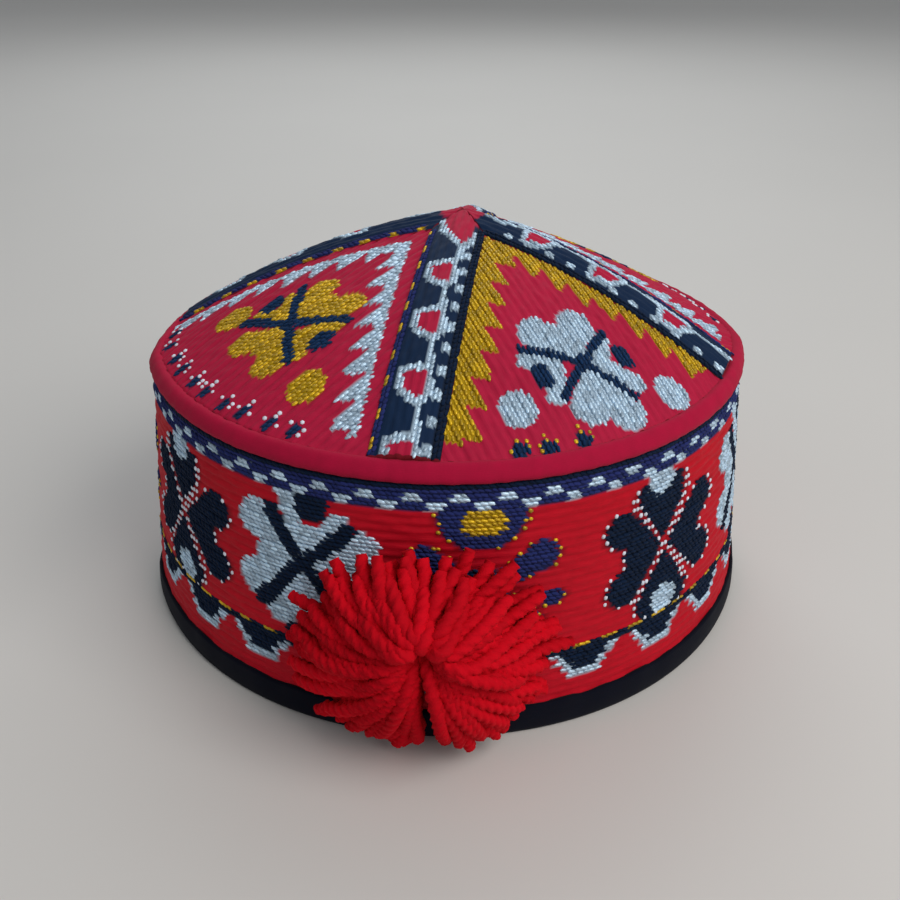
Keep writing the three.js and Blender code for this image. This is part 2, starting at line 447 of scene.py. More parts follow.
@dataclass
class Motif:
    """Strokes that are worked together round one centre; outlines lie outside all of them."""

    strokes: list[Stroke]
    reach: float = 32

    def work(self, chart: np.ndarray, along: np.ndarray, across: np.ndarray) -> None:
        """Writes the motif's threads into a chart, at places measured from its centre.

        Args:
            chart: The chart to write into.
            along: Places along the ribs, in millimetres.
            across: Places across the ribs, in millimetres.
        """
        near = (np.abs(along) < self.reach) & (np.abs(across) < self.reach)
        along, across = along[near], across[near]
        part = chart[near]
        for stroke in self.strokes:
            if stroke.edge is not None:
                part[stroke.outlined(along, across)] = stroke.edge.value
        for stroke in self.strokes:
            part[stroke.depth(along, across) > 0] = stroke.thread.value
        chart[near] = part


@dataclass
class Pattern:
    """A panel's whole chart: its ground, its lines and its motifs."""

    ground: Thread = Thread.RED

    def threads(self, along: np.ndarray, across: np.ndarray) -> np.ndarray:
        """Gives the thread's number at each place of the panel.

        Args:
            along: Places along the ribs, in millimetres.
            across: Places across the ribs, in millimetres.

        Returns:
            An array of the numbers that Thread gives.
        """
        chart = np.full(np.broadcast(along, across).shape, self.ground.value)
        along, across = np.broadcast_arrays(along, across)
        self.draw(chart, along, across)
        return chart

    def draw(self, chart: np.ndarray, along: np.ndarray, across: np.ndarray) -> None:
        """Writes everything but the ground into the chart."""


def dashes(along: np.ndarray, period: float, length: float, start: float = 0) -> np.ndarray:
    """Says which places lie on a dash of a broken line."""
    return (along - start) % period < length


@dataclass
class BandPattern(Pattern):
    """The side band: four-petalled flowers between a dashed border and a row of half-discs."""

    girth: float = 569.26
    middle: float = 46
    front_flowers: tuple[float, ...] = (-84, -37.4, 9.5, 62.8, 112)
    front_discs: tuple[float, ...] = (-73.8, -51.2, -29.3, -7.4, 14.6, 36.8, 61, 84.6)
    border_foot: float = 66.9
    border_middle: float = 69.2
    border_head: float = 71.6
    seam_and_shadow_foot: float = 72.8
    border_dash: Pair = (4.2, 1.2)
    line_foot: float = 22.4
    line_gold: float = 23.5
    line_head: float = 24.7
    line_dash: Pair = (8.4, 4.4)
    disc_count: int = 24
    flower_count: int = 12
    dash_count: int = 48

    def silver_flower(self) -> Motif:
        """Charts the flower with silver petals and a black cross.

        Returns:
            The flower.
        """
        silver, black = Thread.SILVER, Thread.BLACK
        return Motif([
            *heart(silver, (-2.6, 1.6), (-14.2, 10.6), (-14.4, -6.7), 5.6),
            Stroke(silver, (1, 3.5), (-5, 20), 2.0, 2.6),
            Stroke(silver, (1, 3.5), (10, 15.5), 2.0, 2.6),
            Stroke(silver, (1, 4), (1.8, 9.5), 1.5, 4.0),
            *heart(silver, (3, 1.6), (16.2, 9), (15.4, -6), 4.6),
            *heart(silver, (-0.8, -2.6), (-6.6, -14.4), (5.4, -14), 4.2),
            Stroke(black, (2.4, 18.2), (2.4, 23), 4.6, 4.6),
            spot(black, (0.2, -21), 4.2, 1.4),
            spot(black, (20.4, 1.6), 3.6, 1.2),
            Stroke(black, (-0.5, 1.6), (-9.2, 14.6), 1.8, 2.2),
            Stroke(black, (0.5, 1.6), (12.4, 12.6), 1.8, 2.4),
            Stroke(black, (-0.5, 1.4), (-12.6, -12.6), 1.8, 2.4),
            Stroke(black, (0.5, 1.4), (11.4, -12), 1.8, 2.4),
        ])

    def black_flower(self) -> Motif:
        """Charts the flower with black petals, two silver spots and a white cross.

        Returns:
            The flower.
        """
        black, white, silver = Thread.BLACK, Thread.WHITE, Thread.SILVER
        arms = [((-4, 4), (-9.4, 11.6)), ((-9.4, 11.6), (-10.4, 17)), ((3, 3), (8.6, 10)),
                ((8.6, 10), (7.6, 17)), ((3.4, -6), (9.6, -15.6)), ((-3.4, -5), (-9.4, -14.4)),
                ((-4, 4), (3.4, -6)), ((3, 3), (-3.4, -5))]
        return Motif([
            *heart(black, (-3, -1), (-15, 8), (-14.2, -9.6), 5.3, white),
            *heart(black, (-1, 3), (-6, 14.4), (3.8, 14.4), 4.8, white),
            *heart(black, (3, -1), (16.3, 6.4), (16.3, -9.6), 5.4, white),
            *heart(black, (0.4, -4), (-5, -17), (5, -17), 4.8, white),
            *(Stroke(white, start, end, 0.8, 0.8) for start, end in arms),
            spot(silver, (-1.6, 18.6), 4.0, 0.8),
            spot(silver, (0.4, -18), 4.0, 0.8),
        ])

    def purple_flower(self) -> Motif:
        """Charts the purple flower that hangs from the border, with its gold spot and buds.

        Returns:
            The flower.
        """
        purple, navy, knot = Thread.PURPLE, Thread.NAVY, Thread.GOLD_KNOT
        return Motif([
            spot(purple, (-0.4, 20), 9.6, 1.4, knot),
            *(Stroke(purple, (side * 4, 1), (side * 15, 7.2), 2.2, 4.2, knot) for side in (-1, 1)),
            *(Stroke(purple, (side * 4, -3), (side * 11, -12.6), 2.2, 4.0, knot) for side in (-1, 1)),
            *(spot(purple, (side * 17.6, -5.6), 2.2, 0.8, knot) for side in (-1, 1)),
            spot(navy, (0, 0), 5.2, 0.6, knot),
            spot(Thread.GOLD, (0, 17.6), 3.4, 2.4),
            spot(Thread.GOLD, (0, 0), 2.4, 0.4),
        ])

    def half_disc(self) -> Motif:
        """Charts one dark half-disc under the lower line, whose pale outline meets its neighbours'.

        Returns:
            The half-disc.
        """
        rows = ((22.1, 7.0), (19.8, 5.6), (17.5, 3.4))
        return Motif([
            *(Stroke(Thread.BLACK, (0.6 - half, row), (half - 0.6, row), 1.1, 1.1, Thread.SILVER, 2.4)
              for row, half in rows),
            Stroke(Thread.SILVER, (-4.0, 15.2), (4.0, 15.2), 1.1, 1.1),
        ])

    def spread(self, front: tuple[float, ...], count: int) -> list[float]:
        """Adds evenly spaced places round the back to those at the front."""
        step = (self.girth - (front[-1] - front[0])) / (count - len(front) + 1)
        return [*front, *(front[-1] + step * (k + 1) for k in range(count - len(front)))]

    def draw(self, chart: np.ndarray, along: np.ndarray, across: np.ndarray) -> None:
        """Draws the band's lines, half-discs and flowers.

        Args:
            chart: The chart to write into.
            along: Places along the ribs, in millimetres.
            across: Places across the ribs, in millimetres.
        """
        kinds = (self.black_flower(), self.silver_flower(), self.purple_flower())
        disc = self.half_disc()
        half = self.girth / 2
        for centre in self.spread(self.front_discs, self.disc_count):
            disc.work(chart, (along - centre + half) % self.girth - half, across)
        line = (across > self.line_foot) & (across < self.line_head)
        chart[line] = Thread.BLACK.value
        chart[line & (across > self.line_gold) & dashes(along, *self.line_dash)] = Thread.GOLD.value
        for number, centre in enumerate(self.spread(self.front_flowers, self.flower_count)):
            kinds[number % len(kinds)].work(
                chart, (along - centre + half) % self.girth - half, across - self.middle)
        border = (across > self.border_foot) & ~np.isin(chart, (Thread.PURPLE.value, Thread.GOLD.value))
        chart[border] = Thread.PURPLE.value
        # Black half-row under the piping: partly the black seam stitching, partly painted shadow of the
        # piping.
        chart[across > self.seam_and_shadow_foot] = Thread.BLACK.value
        upper = (across > self.border_middle) & (across < self.border_head)
        lower = (across > self.border_foot) & (across < self.border_middle)
        period = self.girth / self.dash_count
        dash, start = self.border_dash
        chart[upper & dashes(along, period, dash, start)] = Thread.SILVER.value
        chart[lower & dashes(along, period, dash, start + period / 2)] = Thread.SILVER.value


@dataclass
class SawFrame:
    """A border of saw teeth along a ridge, measured from the ridge's middle line.

    Each tooth slants out to its tip and drops straight back on the side of the rim.
    """

    thread: Thread
    line: float
    root: float
    tip: float
    pitch: float
    first: float
    slimmer: float = 0
    last: float = 79.5

    def inside(self, run: np.ndarray, gap: np.ndarray, other_gap: np.ndarray,
               slimmer: float) -> np.ndarray:
        """Says which places lie in the border.

        Args:
            run: Distance from the peak along the ridge.
            gap: Distance from the ridge's middle line.
            other_gap: Distance from the middle line of the gore's other ridge.
            slimmer: How much narrower the border is here.

        Returns:
            True inside the border.
        """
        edge = self.root + (self.tip - self.root) * (((run - self.first) / self.pitch) % 1)
        return (gap > self.line) & (other_gap > self.line) & (gap < edge - slimmer) & (run < self.last)


@dataclass(frozen=True)
class CrossedFlower:
    """Places of a crown flower's parts, in millimetres from the middle of its cross."""

    arms: tuple[Pair, ...]
    upper: tuple[Pair, Pair]
    lower: tuple[Pair, Pair]
    left: tuple[Pair, ...]
    right: tuple[Pair, ...]
    discs: tuple[Pair, Pair]
    bump: float = 4.4
    bend: float = 2.2
    arm: float = 1.4

    def motif(self, petals: Thread) -> Motif:
        """Charts two hearts, two bent petals with a half-disc each, and the cross between them.

        Args:
            petals: The petals' thread.

        Returns:
            The flower.
        """
        strokes = []
        for one, other in (self.upper, self.lower):
            notch = ((one[0] + other[0]) / 2, (one[1] + other[1]) / 2)
            foot = (notch[0] * 0.3, notch[1] * 0.3)
            strokes += [Stroke(petals, foot, end, 2.0, self.bump) for end in (one, other)]
            strokes.append(Stroke(petals, foot, (notch[0] * 0.75, notch[1] * 0.75), 2.0, self.bump * 0.8))
        for one, corner, other in (self.left, self.right):
            strokes += [Stroke(petals, corner, end, self.bend + 0.3, self.bend) for end in (one, other)]
        strokes += [spot(Thread.NAVY, place, 2.7, 0.8) for place in self.discs]
        strokes += [Stroke(Thread.NAVY, (0, 0), end, self.arm, self.arm) for end in self.arms]
        return Motif([*strokes, spot(Thread.NAVY, (0, 0), 2.2, 0.6)])


GOLD_FLOWER = CrossedFlower(
    arms=((-10.8, -10.3), (-8.8, 13.5), (5.5, -13.5), (8.0, 12.4)),
    upper=((-12.4, -3.6), (-12.4, 9.0)), lower=((10.3, -5.0), (11.3, 8.4)),
    left=((-6.5, -8.8), (-1.6, -4.8), (1.9, -11.1)), right=((5.1, 12.9), (0.6, 7.7), (-6.5, 13.5)),
    discs=((-2.6, -12.6), (-0.6, 14.2)))
SILVER_FLOWER = CrossedFlower(
    arms=((-8.4, -14.2), (-7.5, 10.9), (7.5, -10.4), (11.7, 8.6)),
    upper=((-11.6, -7.4), (-11.2, 4.4)), lower=((11.6, -5.0), (15.4, 3.6)),
    left=((-4.9, -14.2), (-2, -8.4), (6.4, -12.0)), right=((-5, 8.4), (1.6, 4.4), (8.5, 11.3)),
    discs=((0.4, -12.6), (0.6, 12.6)), bump=5.2, bend=2.7, arm=1.15)


@dataclass
class GorePattern(Pattern):
    """A crown gore: a crossed flower and two spots in a frame of saw teeth, buds along the rim."""

    form: "HatForm | None" = None
    bearing: float = 0
    opening: float = 43.45
    petals: Thread = Thread.GOLD
    flower: CrossedFlower = GOLD_FLOWER
    saw: SawFrame = field(default_factory=lambda: SawFrame(Thread.SILVER, 12.2, 13.9, 20.2, 7.6, 24.4))
    flower_place: Pair = (56.6, -0.2)
    spots: tuple[Pair, ...] = ((62, -19.8), (66.4, 24.1))
    bud_knot: Thread = Thread.WHITE
    bud_turns: tuple[float, ...] = tuple(5.75 * k - 28.5 for k in range(10))
    bud_inset: float = 0.9
    bud_radius: float = 1.4
    reach: float = 120
    ground: Thread = Thread.CRIMSON

    def buds(self) -> list[Stroke]:
        """Charts the row of small buds along the rim.

        Returns:
            The strokes of all buds.
        """
        strokes = []
        for turn in self.bud_turns:
            angle = math.radians(turn)
            radius = self.form.rim_at(math.radians(self.bearing) + angle) - self.bud_inset
            foot = (radius * math.cos(angle), round(radius * math.sin(angle) / 2.3) * 2.3)
            strokes.append(spot(Thread.NAVY, foot, self.bud_radius, 0.5))
            for out, aside in ((-2.6, 0), (-0.8, -2.3), (-0.8, 2.3)):
                strokes.append(spot(self.bud_knot, (foot[0] + out, foot[1] + aside), 0.5, 0.45))
        return strokes

    def draw(self, chart: np.ndarray, along: np.ndarray, across: np.ndarray) -> None:
        """Draws the frame, the buds, the flower and its two spots.

        Args:
            chart: The chart to write into.
            along: Places along the ribs, in millimetres.
            across: Places across the ribs, in millimetres.
        """
        half = math.radians(self.opening)
        gaps = [along * math.sin(half) - side * across * math.cos(half) for side in (-1, 1)]
        for side, gap, other in ((-1, *gaps), (1, *gaps[::-1])):
            run = along * math.cos(half) + side * across * math.sin(half)
            slimmer = self.saw.slimmer if side > 0 else 0
            chart[self.saw.inside(run, gap, other, slimmer)] = self.saw.thread.value
        Motif(self.buds(), self.reach).work(chart, along, across)
        for place in self.spots:
            Motif([spot(self.petals, place, 4.7, 0.2)], self.reach).work(chart, along, across)
        middle, aside = self.flower_place
        self.flower.motif(self.petals).work(chart, along - middle, across - aside)


@dataclass
class RidgePattern(Pattern):
    """A ridge: red shields in a pale zigzag on navy, between two broken lines.

    Side is +1 where the gore framed in gold lies anticlockwise of the ridge, else -1.
    """

    side: int = 1
    first_shield: float = 27.4
    shield_pitch: float = 17.8
    aside: float = 0
    flip: int = 1
    crowned: bool = True
    length: float = 84
    reach: float = 200
    peak_radius: float = 6.4
    ground: Thread = Thread.NAVY

    def spread(self, *corners: Pair) -> list[Pair]:
        """Turns (along, out) places into (along, across) ones for this ridge's side."""
        return [(along, (out + self.aside) * self.side * self.flip) for along, out in corners]

    def line(self, *corners: Pair) -> list[Stroke]:
        """Charts a thin pale line through some corners."""
        places = self.spread(*corners)
        return [Stroke(Thread.SILVER, start, end, 0.86, 0.86) for start, end in zip(places, places[1:])]

    def shield(self, top: float) -> list[Stroke]:
        """Charts one shield, its pale outline and the line from its tip to the next.

        Args:
            top: Where the shield starts along the ridge.

        Returns:
            Its strokes.
        """
        one, other, left, right = self.spread(
            (top + 2.2, -2.2), (top + 1.9, 0.8), (top + 5.2, -1.3), (top + 5.8, 1.2))
        corner, tip = (top - 0.6, 2.7), (top + 9.6, 1.4)
        return [
            Stroke(Thread.CRIMSON, one, other, 2.1, 2.1),
            Stroke(Thread.CRIMSON, left, right, 2.2, 2.0),
            *self.line(corner, (top + 6.8, 3.2), tip, (top + 6.2, -3.8), (top + 0.4, -5.0), corner),
            *self.line(tip, (top + self.shield_pitch - 0.6, 2.2)),
        ]

    def peak(self) -> list[Stroke]:
        """Charts the large shield at the peak, or the line that comes down from it.

        Returns:
            Its strokes.
        """
        if not self.crowned:
            return self.line((7.5, 1.5), (12, -0.5), (self.first_shield - 0.6, 2.7))
        top, middle, tip = self.spread((0, 0.4), (12, 1.4), (18, 3.0))
        return [
            Stroke(Thread.CRIMSON, top, middle, 6.4, 4.2),
            Stroke(Thread.CRIMSON, middle, tip, 4.2, 1.2),
            *self.line((3, -6.0), (12, -3.8), (20.8, 3.6), (self.first_shield - 0.6, 2.7)),
            *self.line((20.8, 3.6), (13, 6.6), (8, 7.6)),
        ]

    def draw(self, chart: np.ndarray, along: np.ndarray, across: np.ndarray) -> None:
        """Draws the shields and the lines beside them.

        Args:
            chart: The chart to write into.
            along: Places along the ribs, in millimetres.
            across: Places across the ribs, in millimetres.
        """
        strokes = self.peak()
        for number in range(int((self.length - self.first_shield) / self.shield_pitch) + 1):
            strokes += self.shield(self.first_shield + number * self.shield_pitch)
        Motif(strokes, self.reach).work(chart, along, across)
        out = across * self.side
        line = (out > 4.3) & (out < 6.45) & dashes(along, 6.6, 2.4, 2.4) & (along > 16)
        chart[line] = Thread.SILVER.value
        rim = (out < -6.4) & (along > 10)
        chart[rim] = Thread.PURPLE.value
        chart[rim & (out < -7.5) & dashes(along, 7.9, 2.8, 1.4)] = Thread.GOLD.value
        chart[out > 6.5] = Thread.BLACK.value
        chart[np.hypot(along, across) < self.peak_radius] = Thread.CRIMSON.value


@dataclass
class HatForm:
    """Sizes of the hat, in millimetres, as its solids have them."""

    foot_radius: float = 94
    seam_radius: float = 87.2
    band_height: float = 73.5
    band_wall: float = 3.5
    back_dent: float = 13.4
    dent_bearing: float = 94.8
    dent_lead: float = 0.2
    rim_radius: float = 82.78
    rim_height: float = 79.69
    crown_rise: float = 31
    crown_bulge: float = 4.9
    peak_shift: Pair = (5.0, 2.4)
    squareness: float = 0.6
    ridge_bearings: tuple[float, ...] = (-96.8, -22.9, 77.0, 176.3)
    ridge_half_at_peak: float = 7.8
    ridge_half_at_rim: float = 8.8
    axis_place: Pair = (-1.262, 17.479)

    def band_radius(self, height: np.ndarray | float) -> np.ndarray | float:
        """Gives the band's outside radius at a height, in front."""
        return self.foot_radius - (self.foot_radius - self.seam_radius) / self.band_height * height

    def dent(self, angle: np.ndarray | float) -> np.ndarray | float:
        """Gives how far the hat is pressed in at an angle round its axis."""
        reach = (np.cos(angle - math.radians(self.dent_bearing)) + self.dent_lead) / (1 + self.dent_lead)
        return self.back_dent * np.sin(np.maximum(reach, 0) * math.pi / 2)

    def rim_at(self, angle: np.ndarray | float) -> np.ndarray | float:
        """Gives the crown's plan radius at its rim."""
        return self.rim_radius - self.dent(angle)

    def ring(self, radius: np.ndarray, angle: np.ndarray, height: np.ndarray) -> np.ndarray:
        """Puts places round the axis, pressed in behind as the hat is.

        Args:
            radius: Radius before the hat was pressed in, in millimetres.
            angle: Angle round the axis.
            height: Height over the table, in millimetres.

        Returns:
            Points in metres, with three numbers in the last axis.
        """
        radius = radius - self.dent(angle)
        return np.stack([radius * np.cos(angle) + self.axis_place[0],
                         radius * np.sin(angle) + self.axis_place[1], height + 0 * angle], -1) * MM

    def gore_opening(self, number: int) -> float:
        """Gives half the angle in degrees between a ridge and the next one anticlockwise."""
        here, after = (self.ridge_bearings[k % 4] for k in (number, number + 1))
        return (after - here) % 360 / 2

    def level_radius(self, share: np.ndarray, angle: np.ndarray) -> np.ndarray:
        """Gives the crown's plan radius on a level line, at an angle round its peak.

        Args:
            share: The level, from 0 at the peak to 1 at the rim.
            angle: Angles round the peak.

        Returns:
            Radii in millimetres.
        """
        first = math.radians(self.ridge_bearings[0])
        turn = (angle - first) % (2 * math.pi)
        starts = np.radians([*self.ridge_bearings, self.ridge_bearings[0] + 360]) - first
        gore = np.clip(np.searchsorted(starts, turn, side="right") - 1, 0, 3)
        half = np.diff(starts)[gore] / 2
        roundness = share**self.squareness
        straight = np.cos(half) / np.cos(turn - starts[gore] - half)
        level = self.rim_radius * share * ((1 - roundness) * straight + roundness)
        return level * self.rim_at(angle) / self.rim_radius

    def crown_point(self, along: np.ndarray, across: np.ndarray, bearing: float,
                    rise: np.ndarray | float) -> np.ndarray:
        """Puts places of the crown's plan on its surface.

        Args:
            along: Distance out from the peak along the bearing, in millimetres.
            across: Distance to its anticlockwise side, in millimetres.
            bearing: The panel's direction in degrees.
            rise: Height over the crown's surface, in millimetres.

        Returns:
            Points in metres, with three numbers in the last axis.
        """
        radius = np.hypot(along, across)
        angle = math.radians(bearing) + np.arctan2(across, along)
        low, high = np.zeros_like(radius), np.full_like(radius, 1.1)
        for _ in range(24):
            share = (low + high) / 2
            inside = self.level_radius(share, angle) < radius
            low, high = np.where(inside, share, low), np.where(inside, high, share)
        share = (low + high) / 2
        bulge = 4 * share * (1 - share) * self.crown_bulge
        x = radius * np.cos(angle) + self.peak_shift[0] * (1 - share)
        y = radius * np.sin(angle) + self.peak_shift[1] * (1 - share)
        z = self.rim_height + self.crown_rise * (1 - share) + bulge + rise
        return np.stack([x + self.axis_place[0], y + self.axis_place[1], z], -1) * MM

    def rim_along(self, across: np.ndarray, bearing: float, spare: float = 1.9) -> np.ndarray:
        """Gives where a line along a panel meets the rim, measured from the peak's foot.

        Args:
            across: The line's distance to the side of the panel's middle.
            bearing: The panel's direction in degrees.
            spare: How far past the rim the line goes.

        Returns:
            Distances along the panel, in millimetres.
        """
        along = np.sqrt(np.maximum(self.rim_radius**2 - across**2, 1))
        for _ in range(12):
            rim = self.rim_at(math.radians(bearing) + np.arctan2(across, along)) + spare
            along = np.sqrt(np.maximum(rim**2 - across**2, 1))
        return along

    def ridge_half(self, radius: np.ndarray | float) -> np.ndarray | float:
        """Gives half the width of a ridge at a distance from the peak."""
        share = radius / self.rim_radius
        return self.ridge_half_at_peak + (self.ridge_half_at_rim - self.ridge_half_at_peak) * share


def new_mesh(name: str, points: np.ndarray, faces: list | np.ndarray) -> bpy.types.Object:
    """Makes a smooth mesh object in the scene.

    Args:
        name: The object's name.
        points: Points in metres, one row each.
        faces: Corner numbers of each face.

    Returns:
        The object, at the origin.
    """
    mesh = bpy.data.meshes.new(name)
    corners = faces if isinstance(faces, list) else faces.tolist()
    mesh.from_pydata(points.reshape(-1, 3).tolist(), [], corners)
    mesh.polygons.foreach_set("use_smooth", np.ones(len(mesh.polygons), bool))
    mesh.update()
    made = bpy.data.objects.new(name, mesh)
    bpy.context.scene.collection.objects.link(made)
    return made


def give_map(made: bpy.types.Object, along: np.ndarray, across: np.ndarray) -> None:
    """Gives a mesh its flat map, in metres, from one pair of numbers for each vertex.

    Args:
        made: The mesh's object.
        along: First number of each vertex.
        across: Second number of each vertex.
    """
    layer = made.data.uv_layers.new(name="cloth")
    corners = np.zeros(len(made.data.loops), np.int32)
    made.data.loops.foreach_get("vertex_index", corners)
    flat = np.stack([along.ravel()[corners], across.ravel()[corners]], -1)
    layer.data.foreach_set("uv", flat.astype(np.float32).ravel())


def grid_faces(rows: int, columns: int, round_columns: bool = False, start: int = 0,
               inward: bool = False) -> np.ndarray:
    """Numbers the quads of a grid of points.

    Args:
        rows: Points across.
        columns: Points along.
        round_columns: Whether the last column joins the first.
        start: Number of the grid's first point.
        inward: Whether the faces look the other way.

    Returns:
        One row of four corner numbers for each quad.
    """
    row, column = np.meshgrid(np.arange(rows - 1), np.arange(columns - (not round_columns)), indexing="ij")
    after = (column + 1) % columns
    corners = [row * columns + column, row * columns + after, (row + 1) * columns + after,
               (row + 1) * columns + column]
    quads = start + np.stack(corners, -1).reshape(-1, 4)
    return quads[:, ::-1] if inward else quads


def face_outward(made: bpy.types.Object) -> None:
    """Turns a closed mesh's faces outward where its volume comes out negative.

    Args:
        made: The mesh's object.
    """
    mesh = made.data
    mesh.calc_loop_triangles()
    corners = np.zeros(len(mesh.loop_triangles) * 3, np.int32)
    mesh.loop_triangles.foreach_get("vertices", corners)
    places = np.zeros(len(mesh.vertices) * 3)
    mesh.vertices.foreach_get("co", places)
    a, b, c = places.reshape(-1, 3)[corners.reshape(-1, 3)].transpose(1, 0, 2)
    if np.einsum("ij,ij->i", a, np.cross(b, c)).sum() < 0:
        mesh.flip_normals()


def once_round(steps: int) -> np.ndarray:
    """Gives the angles of evenly spaced steps round the hat, as one row."""
    return np.linspace(-math.pi, math.pi, steps, endpoint=False)[None, :]


def make_ring(name: str, points: np.ndarray, radius: float, run: np.ndarray) -> bpy.types.Object:
    """Makes a closed ring with its flat map.

    Args:
        name: The object's name.
        points: Points in metres, by place round the section and by step round the hat.
        radius: Radius at which the flat map is true, in millimetres.
        run: How far round the section each row of points lies, as one column.

    Returns:
        The object, with its faces outward.
    """
    rows, steps = points.shape[:2]
    row, column = np.indices((rows, steps))
    below, above, after = row * steps, (row + 1) % rows * steps, (column + 1) % steps
    corners = [below + column, above + column, above + after, below + after]
    made = new_mesh(name, points, np.stack(corners, -1).reshape(-1, 4))
    give_map(made, np.broadcast_to(once_round(steps) * radius, (rows, steps)) * MM,
             np.broadcast_to(run, (rows, steps)) * MM)
    face_outward(made)
    return made


def stand_for(made: bpy.types.Object, node: str) -> None:
    """Puts a piece in the place of its CAD node.

    Args:
        made: The piece.
        node: Name of the node.
    """
    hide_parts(node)
    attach(made, BODY)


def wall_faces(rows: int, columns: int, inner_rows: int, round_columns: bool) -> list[list[int]]:
    """Joins an outer and an inner grid into one closed wall.

    Args:
        rows: Points across on the outside.
        columns: Points along, on both sides.
        inner_rows: Points across on the inside, as many as outside or two.
        round_columns: Whether the wall closes on itself along its ribs.

    Returns:
        The wall's faces: outside, inside, and the strips round its borders.
    """
    inner = rows * columns
    faces = [
        *grid_faces(rows, columns, round_columns).tolist(),
        *grid_faces(inner_rows, columns, round_columns, inner, True).tolist(),
    ]
    last, inner_last = (rows - 1) * columns, inner + (inner_rows - 1) * columns
    for column in range(columns if round_columns else columns - 1):
        after = (column + 1) % columns
        faces.append([after, column, inner + column, inner + after])
        faces.append([last + column, last + after, inner_last + after, inner_last + column])
    if not round_columns:
        for row in range(rows - 1):
            here, there = row * columns, (row + 1) * columns
            faces.append([here, there, inner + there, inner + here])
            end = columns - 1
            faces.append([there + end, here + end, inner + here + end, inner + there + end])
    return faces


class PieceTree:
    """A geometry tree with named inputs, whose result becomes a piece's plain mesh."""

    def __init__(self, name: str, kinds: dict[str, str]) -> None:
        """Makes the tree and its sockets.

        Args:
            name: The tree's name.
            kinds: The kind of each input's socket, by the input's name.
        """
        self.group = bpy.data.node_groups.new(name, "GeometryNodeTree")
        make = self.group.interface.new_socket
        make("Geometry", in_out="INPUT", socket_type="NodeSocketGeometry")
        self.inputs = {label: make(label, in_out="INPUT", socket_type="NodeSocket" + kind).identifier
                       for label, kind in kinds.items()}
        make("Geometry", in_out="OUTPUT", socket_type="NodeSocketGeometry")
        self.tree = NodeTree(self.group)
        given = self.tree.node("NodeGroupInput")
        self.take = {socket.name: Signal(self.tree, socket) for socket in given.outputs}

    def chance(self, low: float) -> Signal:
        """Adds a random number from low to 1 for each element."""
        return self.tree.add("FunctionNodeRandomValue", {"data_type": "FLOAT"},
                             {2: low, 3: 1.0, "Seed": self.take["Seed"]}, 1)

    def put_out(self, shape: Signal, material: str) -> None:
        """Makes the shape real, smooth and of the material that an input names.

        Args:
            shape: The shape.
            material: Name of the material's input.
        """
        real = self.tree.add("GeometryNodeRealizeInstances", None, {0: shape})
        smooth = self.tree.add("GeometryNodeSetShadeSmooth", None, {0: real})
        dressed = self.tree.add("GeometryNodeSetMaterial", None, {
            "Geometry": smooth, "Material": self.take[material]})
        self.tree.node("NodeGroupOutput", None, {0: dressed})

    def run(self, made: bpy.types.Object, values: dict[str, object]) -> None:
        """Runs the tree on an object and keeps its result as the object's plain mesh.

        Args:
            made: The object that gives the points or the paths.
            values: Input values by the input's name.
        """
        modifier = made.modifiers.new("nodes", "NODES")
        modifier.node_group = self.group
        for label, value in values.items():
            modifier[self.inputs[label]] = value
        made.update_tag()
        bpy.context.view_layer.update()
        shown = made.evaluated_get(bpy.context.evaluated_depsgraph_get())
        mesh = bpy.data.meshes.new_from_object(shown)
        made.modifiers.remove(modifier)
        old = made.data
        made.data = mesh
        bpy.data.meshes.remove(old)
        mesh.name = made.name


class StitchTree(PieceTree):
    """Geometry nodes that lay one stitch on each point, turned and sized by its attributes."""

    def __init__(self) -> None:
        """Builds the tree."""
        super().__init__("lay_stitches", {
            "Slant": "Float", "Unevenness": "Float", "Seed": "Int", "Thread": "Material"})
        tree, take = self.tree, self.take
        grain = tree.add("GeometryNodeMeshUVSphere", None, {"Segments": 6, "Rings": 3, "Radius": 0.5})
        lying = tree.add("GeometryNodeTransform", None, {"Geometry": grain,
                                                         "Rotation": (0.0, math.pi / 2, 0.0)})
        turn, size = (
            tree.add("GeometryNodeInputNamedAttribute", {"data_type": "FLOAT_VECTOR"}, {"Name": name})
            for name in ("turn", "size"))
        turning = tree.add("FunctionNodeEulerToRotation", None, {0: turn})
        laid = tree.add("GeometryNodeInstanceOnPoints", None, {
            "Points": take["Geometry"], "Instance": lying, "Rotation": turning, "Scale": size})
        slanted = tree.add("ShaderNodeMath", {"operation": "MULTIPLY_ADD"},
                           {0: self.chance(-1.0), 1: take["Unevenness"], 2: take["Slant"]})
        swing = tree.add("ShaderNodeCombineXYZ", None, {2: slanted})
        swung = tree.add("GeometryNodeRotateInstances", None, {"Instances": laid, "Rotation": swing})
        marked = tree.add("GeometryNodeStoreNamedAttribute", {"data_type": "FLOAT", "domain": "INSTANCE"},
                          {"Geometry": swung, "Name": "shade", "Value": self.chance(0.0)})
        self.put_out(marked, "Thread")


